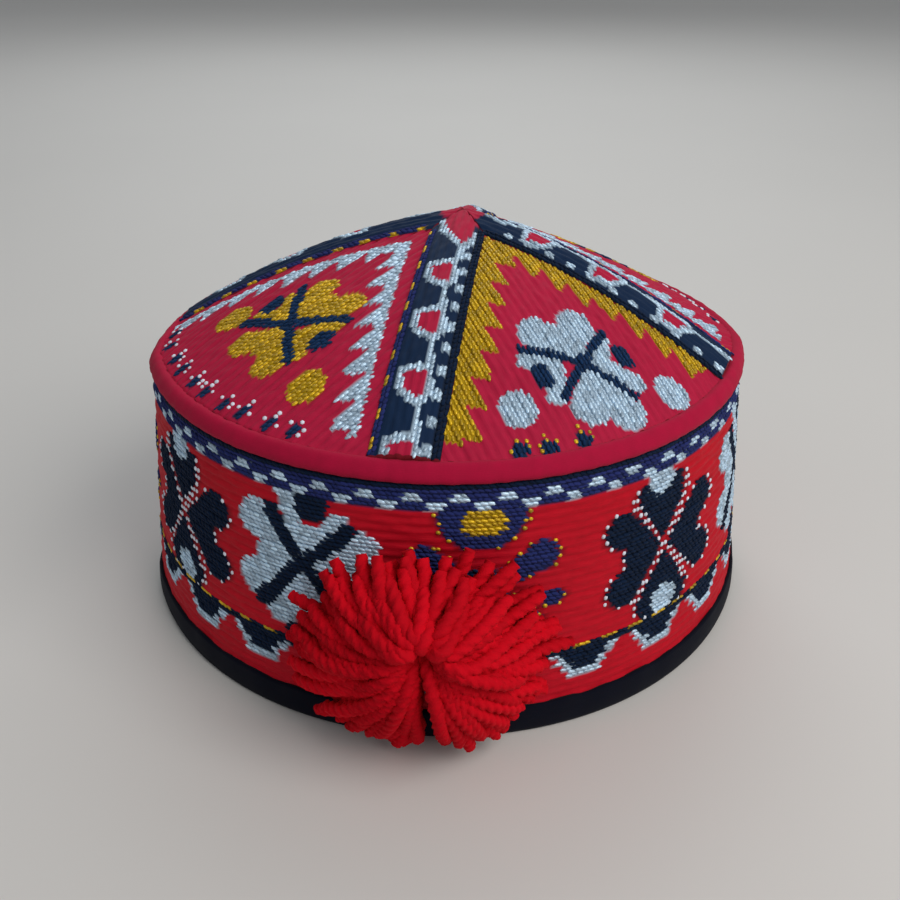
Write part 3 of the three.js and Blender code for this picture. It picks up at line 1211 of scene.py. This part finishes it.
@dataclass
class Needlework:
    """Lays the stitches of a sub-assembly, one piece for each thread."""

    name: str
    slot: str
    tree: StitchTree
    materials: dict[Thread, bpy.types.Material]
    laid: dict[Thread, list[tuple[np.ndarray, np.ndarray, np.ndarray]]] = field(default_factory=dict)
    slant: float = math.radians(-17)
    unevenness: float = math.radians(9)
    first_seed: int = 11

    def take(self, thread: Thread, places: np.ndarray, turns: np.ndarray, sizes: np.ndarray) -> None:
        key = Thread.GOLD if thread is Thread.GOLD_KNOT else thread
        self.laid.setdefault(key, []).append((places, turns, sizes))

    def finish(self) -> None:
        """Makes one piece of every thread's stitches."""
        laid = sorted(self.laid.items(), key=lambda item: item[0].value)
        for number, (thread, parts) in enumerate(laid):
            places, turns, sizes = (np.concatenate(column) for column in zip(*parts))
            made = new_mesh(f"{self.name}_{THREADS[thread].name}", places, [])
            for label, values in (("turn", turns), ("size", sizes)):
                made.data.attributes.new(label, "FLOAT_VECTOR", "POINT").data.foreach_set(
                    "vector", values.astype(np.float32).ravel())
            self.tree.run(made, {"Slant": self.slant, "Unevenness": self.unevenness,
                                 "Seed": self.first_seed + number, "Thread": self.materials[thread]})
            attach(made, BODY)
            log.info("%s: %d stitches, %d faces", made.name, len(places), len(made.data.polygons))


@dataclass
class QuiltedPanel:
    """A ribbed, embroidered cloth wall. A subclass says where its surface lies."""

    name: str
    slot: str
    pattern: Pattern
    form: HatForm
    rib_pitch: float = 2.3
    rib_depth: float = 0.42
    rows_per_rib: int = 4
    columns: int = 42
    wall: float = 2.5
    stitch_step: float = 1.7
    stitch_length: float = 2.5
    stitch_width: float = 1.1
    stitch_thickness: float = 0.62
    knot_step: float = 1.35
    knot_sizes: dict[Thread, tuple[float, float, float]] = field(default_factory=lambda: {
        Thread.WHITE: (1.3, 1.45, 0.72), Thread.GOLD_KNOT: (1.4, 1.25, 0.72)})
    round_about: bool = False
    sewn_to: tuple[str, ...] = ("crown_piping",)

    def place(self, along: np.ndarray, across: np.ndarray, rise: np.ndarray | float) -> np.ndarray:
        """Puts flat places on the panel's surface, in metres."""
        raise NotImplementedError

    def rib_centres(self) -> np.ndarray:
        """Gives the place across of each rib's crest, in millimetres."""
        raise NotImplementedError

    def span(self, across: np.ndarray) -> tuple[np.ndarray, np.ndarray]:
        """Gives where the panel starts and ends along each place across."""
        raise NotImplementedError

    def inner_rows(self, rows: int) -> int:
        """Gives the number of points across on the inside."""
        return rows

    def rib_rise(self, along: np.ndarray, across: np.ndarray) -> np.ndarray:
        """Gives the cushion of the rib at a place, with the unevenness of handwork.

        Args:
            along: Places along the ribs, in millimetres.
            across: Places across the ribs, in millimetres.

        Returns:
            Heights over the ground, in millimetres.
        """
        phase = (across - self.rib_centres()[0]) / self.rib_pitch
        rib = np.round(phase)
        drift = 0.09 * np.sin(0.31 * along + 2.4 * rib) + 0.05 * np.sin(0.83 * along + 4.1 * rib)
        swell = 1 + 0.22 * np.sin(0.57 * along + 3.3 * rib) + 0.15 * np.sin(1.37 * along + 1.7 * rib)
        cushion = np.sqrt(np.abs(np.cos(np.pi * np.clip(phase - rib + drift, -0.5, 0.5))))
        return self.rib_depth * (cushion * swell - 0.55)

    def grid(self) -> tuple[np.ndarray, np.ndarray]:
        """Gives the places along and across of the panel's points, row by row.

        Returns:
            Places along and places across, one row for each place across.
        """
        centres = self.rib_centres()
        first, last = centres[0] - self.rib_pitch / 2, centres[-1] + self.rib_pitch / 2
        across = np.linspace(first, last, len(centres) * self.rows_per_rib + 1)
        start, end = self.span(across)
        shares = np.linspace(0, 1, self.columns + 1)
        if self.round_about:
            shares = shares[:-1]
        along = start[:, None] + (end - start)[:, None] * shares
        return along, np.broadcast_to(across[:, None], along.shape)

    def ground_colours(self, along: np.ndarray, across: np.ndarray) -> np.ndarray:
        """Gives the chart's colour under each point of the outside, with painted shade: darker under every
        thread but the red and the crimson.

        Args:
            along: Places along the ribs, in millimetres.
            across: Places across the ribs, in millimetres.

        Returns:
            Linear colours, with four numbers in the last axis.
        """
        half_row = self.rib_pitch / 2
        first = self.rib_centres()[0] - half_row
        middle = first + (np.floor((across - first) / half_row + 1e-6) + 0.5) * half_row
        chart = self.pattern.threads(along, middle)
        table = np.array([THREADS[self.pattern.ground if thread.knotted else thread].colour
                          for thread in Thread])
        # Painted shade: the ground is darkened to 0.6 under every thread but the red and the crimson, for
        # the shade in the gaps between stitches.
        painted_gap_shade = np.array([1.0 if thread in (Thread.RED, Thread.CRIMSON) else 0.6 for thread in Thread])
        table[:, :3] *= painted_gap_shade[:, None]
        return table[chart]

    def build_ground(self, outside: bpy.types.Material, inside: bpy.types.Material) -> None:
        """Makes the ribbed wall and gives each point of it the colour of its thread, with painted shade
        under the motif threads.

        Args:
            outside: Material of the ribbed side.
            inside: Material of the other faces.
        """
        along, across = self.grid()
        rows, columns = along.shape
        inner_rows = self.inner_rows(rows)
        pick = np.linspace(0, rows - 1, inner_rows).round().astype(int)
        outer = self.place(along, across, self.rib_rise(along, across))
        inner = self.place(along[pick], across[pick], -self.wall)
        faces = wall_faces(rows, columns, inner_rows, self.round_about)
        made = new_mesh(self.name + "_quilt", np.concatenate([outer, inner]), faces)
        give_map(made, *(np.concatenate([flat, flat[pick]]) * MM for flat in (along, across)))
        colours = np.concatenate([self.ground_colours(along, across).reshape(-1, 4),
                                  np.tile(THREADS[Thread.RED].colour, (inner_rows * columns, 1))])
        # The thread colours here include painted shade under the motif threads.
        layer = made.data.attributes.new("thread_colour", "FLOAT_COLOR", "POINT")
        layer.data.foreach_set("color", colours.astype(np.float32).ravel())
        for cloth in (outside, inside):
            made.data.materials.append(cloth)
        side = np.ones(len(faces), np.int32)
        side[:len(grid_faces(rows, columns, self.round_about))] = 0
        made.data.polygons.foreach_set("material_index", side)
        stand_for(made, self.name)
        self.declare(made, outer)
        log.info("%s: %d faces", made.name, len(faces))

    def declare(self, made: bpy.types.Object, outer: np.ndarray) -> None:
        """Works out the panel's grid and does nothing more with it.

        Args:
            made: The panel's piece; not used.
            outer: Its outside points, in metres; not used.
        """
        along, across = self.grid()

    def turns(self, along: np.ndarray, across: np.ndarray) -> tuple[np.ndarray, np.ndarray]:
        """Finds where stitches lie and how they turn.

        Args:
            along: Places along the ribs.
            across: Places across the ribs.

        Returns:
            Points in metres and Euler angles whose X axis runs along the rib.
        """
        step = 0.25
        rise = self.rib_rise(along, across)
        here = self.place(along, across, rise)
        way = self.place(along + step, across, rise) - self.place(along - step, across, rise)
        aside = (self.place(along, across + step, self.rib_rise(along, across + step))
                 - self.place(along, across - step, self.rib_rise(along, across - step)))
        way /= np.linalg.norm(way, axis=-1, keepdims=True)
        up = np.cross(way, aside)
        up /= np.linalg.norm(up, axis=-1, keepdims=True)
        aside = np.cross(up, way)
        turn = np.stack([np.arctan2(aside[..., 2], up[..., 2]), -np.arcsin(np.clip(way[..., 2], -1, 1)),
                         np.arctan2(way[..., 1], way[..., 0])], -1)
        return here, turn

    def stitch(self, work: Needlework) -> None:
        """Lays the panel's motif stitches into a needlework.

        Args:
            work: The needlework that keeps the stitches.
        """
        centres = self.rib_centres()
        start, end = self.span(centres)
        rng = np.random.default_rng(5)
        for half in (-1, 0, 1):
            step = self.stitch_step if half else self.knot_step
            for rib, centre in enumerate(centres):
                shift = 0.5 * ((rib * 2 + (half > 0)) % 2) if half else 0
                along = np.arange(start[rib] + (0.5 + shift) * step, end[rib], step)
                along = along + rng.uniform(-0.12, 0.12, len(along)) * step
                across = np.full_like(along, centre + half * self.rib_pitch / 4)
                chart = self.pattern.threads(along, across)
                places, turns = self.turns(along, across)
                varied = MM * rng.uniform(0.88, 1.1, (len(along), 1))
                for thread in Thread:
                    if thread in (self.pattern.ground, Thread.RED, Thread.CRIMSON):
                        continue
                    size = self.knot_sizes.get(
                        thread, (self.stitch_length, self.stitch_width, self.stitch_thickness))
                    mine = (chart == thread.value) & (thread.knotted == (half == 0))
                    if mine.any():
                        work.take(thread, places[mine], turns[mine], np.array(size) * varied[mine])


@dataclass
class SideBand(QuiltedPanel):
    """The tapered band round the head, with ribs that run level."""

    head: float = 74.1
    foot: float = 2.8
    round_about: bool = True
    sewn_to: tuple[str, ...] = ("edge_binding",)
    mean_radius: float = 90.6
    columns: int = 380

    def place(self, along: np.ndarray, across: np.ndarray, rise: np.ndarray | float) -> np.ndarray:
        """Rolls the flat band round the hat's axis."""
        angle = along / self.mean_radius - math.pi / 2
        return self.form.ring(self.form.band_radius(across) + rise, angle, across)

    def rib_centres(self) -> np.ndarray:
        """Counts ribs down from the seam under the piping."""
        count = int((self.head - self.foot) / self.rib_pitch)
        return np.sort(self.head - self.rib_pitch * (np.arange(count) + 0.6))

    def span(self, across: np.ndarray) -> tuple[np.ndarray, np.ndarray]:
        """Goes once round, from the back."""
        half = math.pi * self.mean_radius
        return np.full_like(across, -half), np.full_like(across, half)

    def inner_rows(self, rows: int) -> int:
        """Needs only its two edges, because the inside is a straight cone."""
        return 2


@dataclass
class Gore(QuiltedPanel):
    """A crown panel between two ridges, with ribs along its centre line."""

    bearing: float = 0.0
    opening: float = 45.0
    tuck: float = 0.9
    rib_depth: float = 0.52
    stitch_step: float = 1.45
    stitch_length: float = 2.1
    stitch_width: float = 1.05
    least_length: float = 0.5
    columns: int = 80

    def place(self, along: np.ndarray, across: np.ndarray, rise: np.ndarray | float) -> np.ndarray:
        """Lays the flat gore on the crown."""
        return self.form.crown_point(along, across, self.bearing, rise)

    def rib_centres(self) -> np.ndarray:
        """Spreads ribs to both sides of the centre line.

        Returns:
            Their places across, in millimetres.
        """
        reach = self.form.rim_radius * math.sin(math.radians(self.opening - 5))
        count = int(reach / self.rib_pitch)
        return np.arange(-count, count + 1) * self.rib_pitch

    def span(self, across: np.ndarray) -> tuple[np.ndarray, np.ndarray]:
        """Starts under the ridge, or at the rim where the ridge reaches it, and ends at the piping.

        Args:
            across: Places across the ribs, in millimetres.

        Returns:
            Where each row starts and where it ends, in millimetres.
        """
        half = math.radians(self.opening)
        start = np.abs(across) + 12
        for _ in range(6):
            angle = math.radians(self.bearing) + np.sign(across) * half
            drawn_in = self.form.rim_at(angle) / self.form.rim_radius
            ridge = self.form.ridge_half(np.hypot(start, across)) * drawn_in - self.tuck
            start = (np.abs(across) * math.cos(half) + ridge) / math.sin(half)
        end = self.form.rim_along(across, self.bearing)
        return np.minimum(start, end - self.least_length), end


@dataclass
class Ridge(QuiltedPanel):
    """A raised band over a crown seam, with ribs along it."""

    bearing: float = 0.0
    openings: Pair = (45.0, 45.0)
    edge_rise: float = 0.4
    centre_rise: float = 1.7
    charted_half: float = 8.6
    fill: float = 0.9
    columns: int = 120
    wall: float = 3.0
    rib_pitch: float = 2.15
    stitch_step: float = 1.45
    stitch_length: float = 2.1

    def place(self, along: np.ndarray, across: np.ndarray, rise: np.ndarray | float) -> np.ndarray:
        """Lays the flat ridge on the crown and rounds its top.

        Args:
            along: Places along the ribs, in millimetres.
            across: Places across the ribs, in millimetres.
            rise: Height of the ribs there.

        Returns:
            Points in metres.
        """
        share = across / self.charted_half
        dome = self.edge_rise + (self.centre_rise - self.edge_rise) * (1 - share**2)
        broad = self.form.ridge_half(along) * self.drawn_in() / self.charted_half
        return self.form.crown_point(along, across * broad, self.bearing, rise + dome)

    def declare(self, made: bpy.types.Object, outer: np.ndarray) -> None:
        """Does nothing for a ridge."""

    def drawn_in(self) -> float:
        """Gives how much narrower the ridge is where the hat is pressed in."""
        return float(self.form.rim_at(math.radians(self.bearing))) / self.form.rim_radius

    def rib_centres(self) -> np.ndarray:
        """Gives the eight ribs of a ridge."""
        return (np.arange(8) - 3.5) * self.rib_pitch

    def span(self, across: np.ndarray) -> tuple[np.ndarray, np.ndarray]:
        """Starts at the mitre with the next ridge and ends at the piping."""
        mitre = np.where(across < 0, *(0.93 / math.tan(math.radians(angle)) for angle in self.openings))
        return np.abs(across) * mitre * self.drawn_in() + 0.15, self.form.rim_along(across, self.bearing)


@dataclass
class PipingRoll:
    """The stuffed red roll round the crown's edge, with fine pulls in its cloth."""

    name: str = "crown_piping"
    slot: str = "red_piping"
    radius: float = 85.9
    height: float = 76.36
    half_length: float = 2.75
    half_thickness: float = 2.15
    fullness: float = 0.8
    slope: float = 60
    map_radius: float = 2.8
    steps: int = 420
    sides: int = 18

    def build(self, form: HatForm, cloth: bpy.types.Material) -> None:
        """Makes the roll as one closed ring.

        Args:
            form: The hat that the piece lies on.
            cloth: Its material.
        """
        turn = once_round(self.steps)
        side = np.linspace(0, 2 * math.pi, self.sides, endpoint=False)[:, None]
        rng = np.random.default_rng(8)
        pulls = sum(
            rng.uniform(0.005, 0.014)
            * np.sin(rng.integers(30, 150) * turn + side * rng.uniform(-1, 1) + rng.uniform(0, 6))
            for _ in range(12))
        swell = 1 + pulls + 0.012 * np.sin(9 * turn) * np.cos(side)
        long_way, thick_way = (
            half * np.sign(part) * np.abs(part) ** self.fullness * swell
            for half, part in ((self.half_length, np.cos(side)), (self.half_thickness, np.sin(side))))
        lean = math.radians(self.slope)
        out = -long_way * math.cos(lean) + thick_way * math.sin(lean)
        up = long_way * math.sin(lean) + thick_way * math.cos(lean)
        radius, height = self.radius + out, self.height + up + 0 * turn
        points = form.ring(radius, turn, height)
        made = make_ring(self.name + "_roll", points, self.radius, side * self.map_radius)
        made.data.materials.append(cloth)
        stand_for(made, self.name)
        log.info("%s: %d faces", made.name, len(made.data.polygons))


@dataclass
class FootBinding:
    """The navy tape folded round the lower edge, on which the hat stands."""

    name: str = "edge_binding"
    slot: str = "navy_tape"
    height: float = 8.4
    steps: int = 300

    def build(self, form: HatForm, cloth: bpy.types.Material) -> None:
        """Makes the tape as one ring, folded round the foot of the band.

        Args:
            form: The hat that the piece lies on.
            cloth: Its material.
        """
        seen = [(0.15, 8.4), (1.0, 8.1), (1.1, 7.4), (1.15, 4.5), (1.1, 1.6), (0.7, 0.5), (0.0, 0.0),
                (-3.0, 0.0), (-4.0, 0.4), (-4.5, 1.4), (-4.55, 4.5), (-4.5, 7.6), (-4.3, 8.2), (-3.6, 8.4)]
        hidden = [(-3.75, 7.6), (-3.8, 4.5), (-3.75, 1.6), (-3.2, 0.9),
                  (-0.1, 0.9), (0.45, 1.7), (0.5, 4.5), (0.45, 7.4)]
        turn = once_round(self.steps)
        out, up = (column[:, None] for column in np.array(seen + hidden).T)
        rng = np.random.default_rng(3)
        wave = sum(rng.uniform(0.03, 0.09) * np.sin(rng.integers(5, 60) * turn + rng.uniform(0, 6))
                   for _ in range(8))
        lift = up / self.height
        radius = form.band_radius(up) + out + wave * lift * 0.8
        height = up + wave * lift * 1.6
        points = form.ring(radius, turn, height)
        run = np.concatenate([[0], np.cumsum(np.hypot(np.diff(out[:, 0]), np.diff(up[:, 0])))])
        made = make_ring(self.name + "_tape", points, form.foot_radius, run[:, None])
        made.data.materials.append(cloth)
        stand_for(made, self.name)


class YarnTree(PieceTree):
    """Geometry nodes that lay a yarn of three fused plies, twisted, along every path."""

    def __init__(self) -> None:
        """Builds the tree."""
        super().__init__("ply_yarn", {"Radius": "Float", "Ply Depth": "Float", "Twist Length": "Float",
                                      "Points": "Int", "Seed": "Int", "Yarn": "Material"})
        tree, take = self.tree, self.take
        path = tree.add("GeometryNodeMeshToCurve", None, {"Mesh": take["Geometry"]})
        path = tree.add("GeometryNodeCurveSplineType", {"spline_type": "CATMULL_ROM"}, {"Curve": path})
        path = tree.add("GeometryNodeResampleCurve", None, {"Curve": path, "Count": take["Points"]})
        path = tree.add("GeometryNodeStoreNamedAttribute", {"data_type": "FLOAT", "domain": "CURVE"},
                        {"Geometry": path, "Name": "shade", "Value": self.chance(0.0)})
        along = tree.add("GeometryNodeSplineParameter", None, None, "Length")
        share = tree.add("GeometryNodeSplineParameter", None, None, "Factor")
        turns = tree.add("ShaderNodeMath", {"operation": "DIVIDE"}, {0: along, 1: take["Twist Length"]})
        path = tree.add("GeometryNodeSetCurveTilt", None, {"Curve": path, "Tilt": turns * (2 * math.pi)})
        taper = tree.add("ShaderNodeMapRange", {"interpolation_type": "SMOOTHSTEP"},
                         {"Value": share, "From Min": 0.9, "To Min": 1.0, "To Max": 0.8})
        circle = tree.add("GeometryNodeCurvePrimitiveCircle", None, {
            "Resolution": 12, "Radius": take["Radius"]})
        corner = tree.add("GeometryNodeInputIndex")
        lobes = tree.add("ShaderNodeMath", {"operation": "COSINE"}, {0: corner * (math.pi / 2)})
        swollen = lobes * take["Ply Depth"] + 1.0
        place = tree.add("GeometryNodeInputPosition")
        pushed = tree.add("ShaderNodeVectorMath", {"operation": "SCALE"}, {0: place, "Scale": swollen})
        section = tree.add("GeometryNodeSetPosition", None, {"Geometry": circle, "Position": pushed})
        yarn = tree.add("GeometryNodeCurveToMesh", None, {
            "Curve": path, "Profile Curve": section, "Scale": taper, "Fill Caps": True})
        self.put_out(yarn, "Yarn")


@dataclass
class Pompom:
    """A mop of twisted yarn, tied at its middle to the front of the band."""

    name: str = "pompom"
    slot: str = "red_yarn"
    strands: int = 236
    knot: Pair = (-5.6, 33.5)
    half_width: float = 34
    half_height: float = 28.8
    depth: float = 23
    yarn_radius: float = 1.72
    ply_depth: float = 0.13
    twist_length: float = 9.0
    points_per_strand: int = 27
    floor_gap: float = 2.8
    parting: float = 0.15
    parting_turn: float = 1.5
    parting_width: float = 0.55
    knot_radius: float = 1.2
    spreading: float = 1.05
    droop: float = 3.0
    lift: float = 9
    clearance: float = 1.9

    def path(self, number: int, form: HatForm, rng: np.random.Generator) -> np.ndarray:
        """Leads one strand out of the knot, over the strands behind it and down a little.

        Args:
            number: The strand's number, from the band outward.
            form: The hat, whose band the strand stays clear of.
            rng: The source of its unevenness.

        Returns:
            Eleven points in metres.
        """
        layer = (number + 0.5) / self.strands
        around = number * GOLDEN_ANGLE + rng.uniform(-0.12, 0.12)
        apart = (around + self.parting_turn + math.pi) % (2 * math.pi) - math.pi
        around += self.parting * math.copysign(math.exp(-(apart / self.parting_width) ** 2), apart)
        reach = (1.0 - 0.26 * layer**2) * rng.uniform(0.78, 1.06)
        ahead = 3.0 + (self.depth - 5.5) * layer**0.8 * rng.uniform(0.9, 1.06)
        t = np.linspace(0, 1, 11)
        out = 1.5 + 1.6 * layer + 0.95 * t**1.12
        wide, tall = (
            way * (self.knot_radius + (half * reach - self.knot_radius) * t**self.spreading)
            for way, half in ((np.cos(around), self.half_width), (np.sin(around), self.half_height)))
        arch = np.sin((0.3 + 0.58 * t) * math.pi) ** 0.8 * (1 - 0.22 * np.exp(-(t / 0.16) ** 2))
        forward = 2.5 + ahead * arch
        wave = rng.uniform(0.6, 2.8)
        phase = rng.uniform(0, 6.3)
        wide += wave * np.sin(phase + 4.2 * t) * t
        sag = self.droop * t**2 * (0.4 + 0.6 * abs(math.cos(around)))
        tall += wave * np.cos(phase + 3.6 * t) * t - sag
        tall += self.lift * layer * (1 - t) ** 1.5
        x = self.knot[0] + wide
        z = np.maximum(self.knot[1] + tall, self.floor_gap + 0.3 * (out - 1))
        surface = np.sqrt(np.maximum((form.band_radius(z) + self.clearance) ** 2 - x**2, 1))
        y = -surface - forward * (0.96 if layer > 0.1 else 0.9) + 1.2
        y = np.minimum(y, -surface)
        return np.stack([x + form.axis_place[0], y + form.axis_place[1], z], -1) * MM

    def build(self, form: HatForm, tree: YarnTree, yarn: bpy.types.Material) -> None:
        """Makes all strands one piece.

        Args:
            form: The hat that the piece lies on.
            tree: The nodes that lay the yarn.
            yarn: Its material.
        """
        rng = np.random.default_rng(21)
        paths = [self.path(number, form, rng) for number in range(self.strands)]
        count = len(paths[0])
        mesh = bpy.data.meshes.new("pompom_paths")
        edges = [(k * count + i, k * count + i + 1) for k in range(len(paths)) for i in range(count - 1)]
        mesh.from_pydata(np.concatenate(paths).tolist(), edges, [])
        made = bpy.data.objects.new(self.name + "_yarn", mesh)
        bpy.context.scene.collection.objects.link(made)
        tree.run(made, {"Radius": self.yarn_radius * MM, "Ply Depth": self.ply_depth,
                        "Twist Length": self.twist_length * MM, "Points": self.points_per_strand,
                        "Seed": 4, "Yarn": yarn})
        stand_for(made, self.name)
        log.info("%s: %d strands, %d faces", made.name, len(paths), len(made.data.polygons))


@dataclass
class Studio:
    """Camera, soft lights and a plain pale floor."""

    camera_place: tuple[float, float, float] = (-0.00126, -0.2775, 0.2038)
    look_down: float = 30.1
    roll: float = 0.2
    lens: float = 41.8
    shift: float = 0.0043

    def build(self) -> None:
        """Sets up everything that isn't the hat."""
        camera = bpy.data.cameras.new("camera")
        camera.lens, camera.sensor_width, camera.shift_x = self.lens, 36.0, self.shift
        camera.clip_start = 0.01
        stand = bpy.data.objects.new("camera", camera)
        down = math.radians(self.look_down)
        view = Vector((0.0, math.cos(down), -math.sin(down))).to_track_quat("-Z", "Y").to_matrix().to_4x4()
        stand.matrix_world = (Matrix.Translation(self.camera_place) @ view
                              @ Matrix.Rotation(math.radians(self.roll), 4, "Z"))
        bpy.context.scene.collection.objects.link(stand)
        bpy.context.scene.camera = stand
        self.lamp("window", (0.55, -0.45, 0.75), 0.7, 6.2, (1.0, 0.97, 0.95))
        self.lamp("room", (-0.7, -0.35, 0.55), 0.9, 0.25, (0.9, 0.95, 1.0))
        self.lamp("behind", (0.0, 0.8, 0.7), 0.8, 3.2, (0.93, 0.97, 1.0))
        world = bpy.data.worlds.new("room")
        world.use_nodes = True
        world.node_tree.nodes["Background"].inputs[0].default_value = (0.86, 0.9, 0.95, 1.0)
        world.node_tree.nodes["Background"].inputs[1].default_value = 0.31
        bpy.context.scene.world = world
        bpy.context.scene.view_settings.view_transform = "Standard"
        self.floor()

    def lamp(self, name: str, place: tuple[float, float, float], size: float, power: float,
             colour: tuple[float, float, float]) -> None:
        """Adds a square soft light that faces the hat.

        Args:
            name: The lamp's name.
            place: Its place in metres.
            size: Length of its side in metres.
            power: Its power in watts.
            colour: Its linear colour.
        """
        light = bpy.data.lights.new(name, "AREA")
        light.size, light.energy, light.color = size, power, colour
        made = bpy.data.objects.new(name, light)
        way = Vector((0.0, 0.0, 0.05)) - Vector(place)
        made.matrix_world = Matrix.Translation(place) @ way.to_track_quat("-Z", "Y").to_matrix().to_4x4()
        bpy.context.scene.collection.objects.link(made)

    def floor(self) -> None:
        """Adds the floor at height zero, where the foot of the tape also lies."""
        corners = np.array([[-3, -3, 0], [3, -3, 0], [3, 3, 0], [-3, 3, 0]], float)
        made = new_mesh("floor", corners, [[0, 1, 2, 3]])
        material = bpy.data.materials.new("floor")
        material.use_nodes = True
        tree = NodeTree(material.node_tree)
        shader = material.node_tree.nodes["Principled BSDF"]
        shader.inputs["Roughness"].default_value = 0.6
        noise = Surface.noise(tree, Surface.place(tree), 3.0, 3.0)
        colour = Surface.vary(tree, linear(214, 211, 206), noise, 0.94, 1.04)
        tree.tree.links.new(colour.socket, shader.inputs["Base Color"])
        made.data.materials.append(material)


def dress_crown(form: HatForm, materials: dict[Thread, bpy.types.Material], tree: StitchTree,
                quilt: bpy.types.Material, lining: bpy.types.Material) -> None:
    """Makes the four gores and the four ridges with their stitches.

    Args:
        form: The hat that the piece lies on.
        materials: Material of each thread.
        tree: The nodes that lay stitches.
        quilt: Material of the ribbed side.
        lining: Material of the inside.
    """
    gold_saw = SawFrame(Thread.GOLD, 7.9, 12.6, 18.4, 8.05, 37.7, 1.8)
    silver = {"petals": Thread.SILVER, "flower": SILVER_FLOWER, "saw": gold_saw,
              "bud_knot": Thread.GOLD_KNOT}
    charts = (
        {**silver, "flower_place": (63.5, 2.4), "spots": ((69.6, -20.8), (76.2, 23)),
         "bud_turns": (-17.7, -12.4, -7.0), "bud_inset": -0.3, "bud_radius": 1.8},
        {"flower_place": (52, 5), "spots": ((63, -12), (54, 27))},
        {**silver, "flower_place": (53, 1), "spots": ((57, -20), (60, 21))},
        {},
    )
    gores = Needlework("crown", "gore_embroidery", tree, materials)
    ridges = Needlework("ridges", "ridge_embroidery", tree, materials)
    for quarter, name in enumerate(("front_right", "back_right", "back_left", "front_left")):
        opening = form.gore_opening(quarter)
        bearing = form.ridge_bearings[quarter] + opening
        pattern = GorePattern(form=form, bearing=bearing, opening=opening, **charts[quarter])
        gore = Gore("gore_" + name, "gore_embroidery", pattern, form, bearing=bearing, opening=opening)
        gore.build_ground(quilt, lining)
        gore.stitch(gores)
    for quarter, name in enumerate(("front", "right", "back", "left")):
        pattern = RidgePattern(side=-1 if quarter % 2 else 1)
        if name == "right":
            pattern = RidgePattern(side=-1, first_shield=20.8, shield_pitch=21.4, flip=-1, crowned=False)
        elif name == "left":
            pattern = RidgePattern(side=-1, aside=3.0, crowned=False)
        ridge = Ridge("ridge_" + name, "ridge_embroidery", pattern, form,
                      bearing=form.ridge_bearings[quarter],
                      openings=(form.gore_opening(quarter - 1), form.gore_opening(quarter)))
        ridge.build_ground(quilt, lining)
        ridge.stitch(ridges)
    gores.finish()
    ridges.finish()


def main() -> None:
    """Builds the hat's pieces in the order in which it is sewn."""
    logging.basicConfig(level=logging.INFO, format="%(name)s: %(message)s")
    Studio().build()
    form = HatForm()
    materials = {thread: THREADS[thread].build() for thread in Thread if thread is not Thread.GOLD_KNOT}
    quilt = QuiltFinish("quilt_ground").build()
    lining = WovenFinish("lining_cotton", linear(120, 22, 34)).build()
    red_cloth = WovenFinish("piping_cotton", linear(174, 14, 56)).build()
    navy_cloth = WovenFinish("navy_tape", linear(6, 9, 24), 0.6, 0.85, True).build()
    stitches = StitchTree()

    band = SideBand("side_band", "band_embroidery", BandPattern(), form, wall=form.band_wall)
    band.build_ground(quilt, lining)
    work = Needlework("band", "band_embroidery", stitches, materials)
    band.stitch(work)
    work.finish()
    dress_crown(form, materials, stitches, quilt, lining)
    PipingRoll().build(form, red_cloth)
    FootBinding().build(form, navy_cloth)
    Pompom().build(form, YarnTree(), YarnFinish("red_yarn", linear(206, 4, 26)).build())


if __name__ == "__main__":
    main()
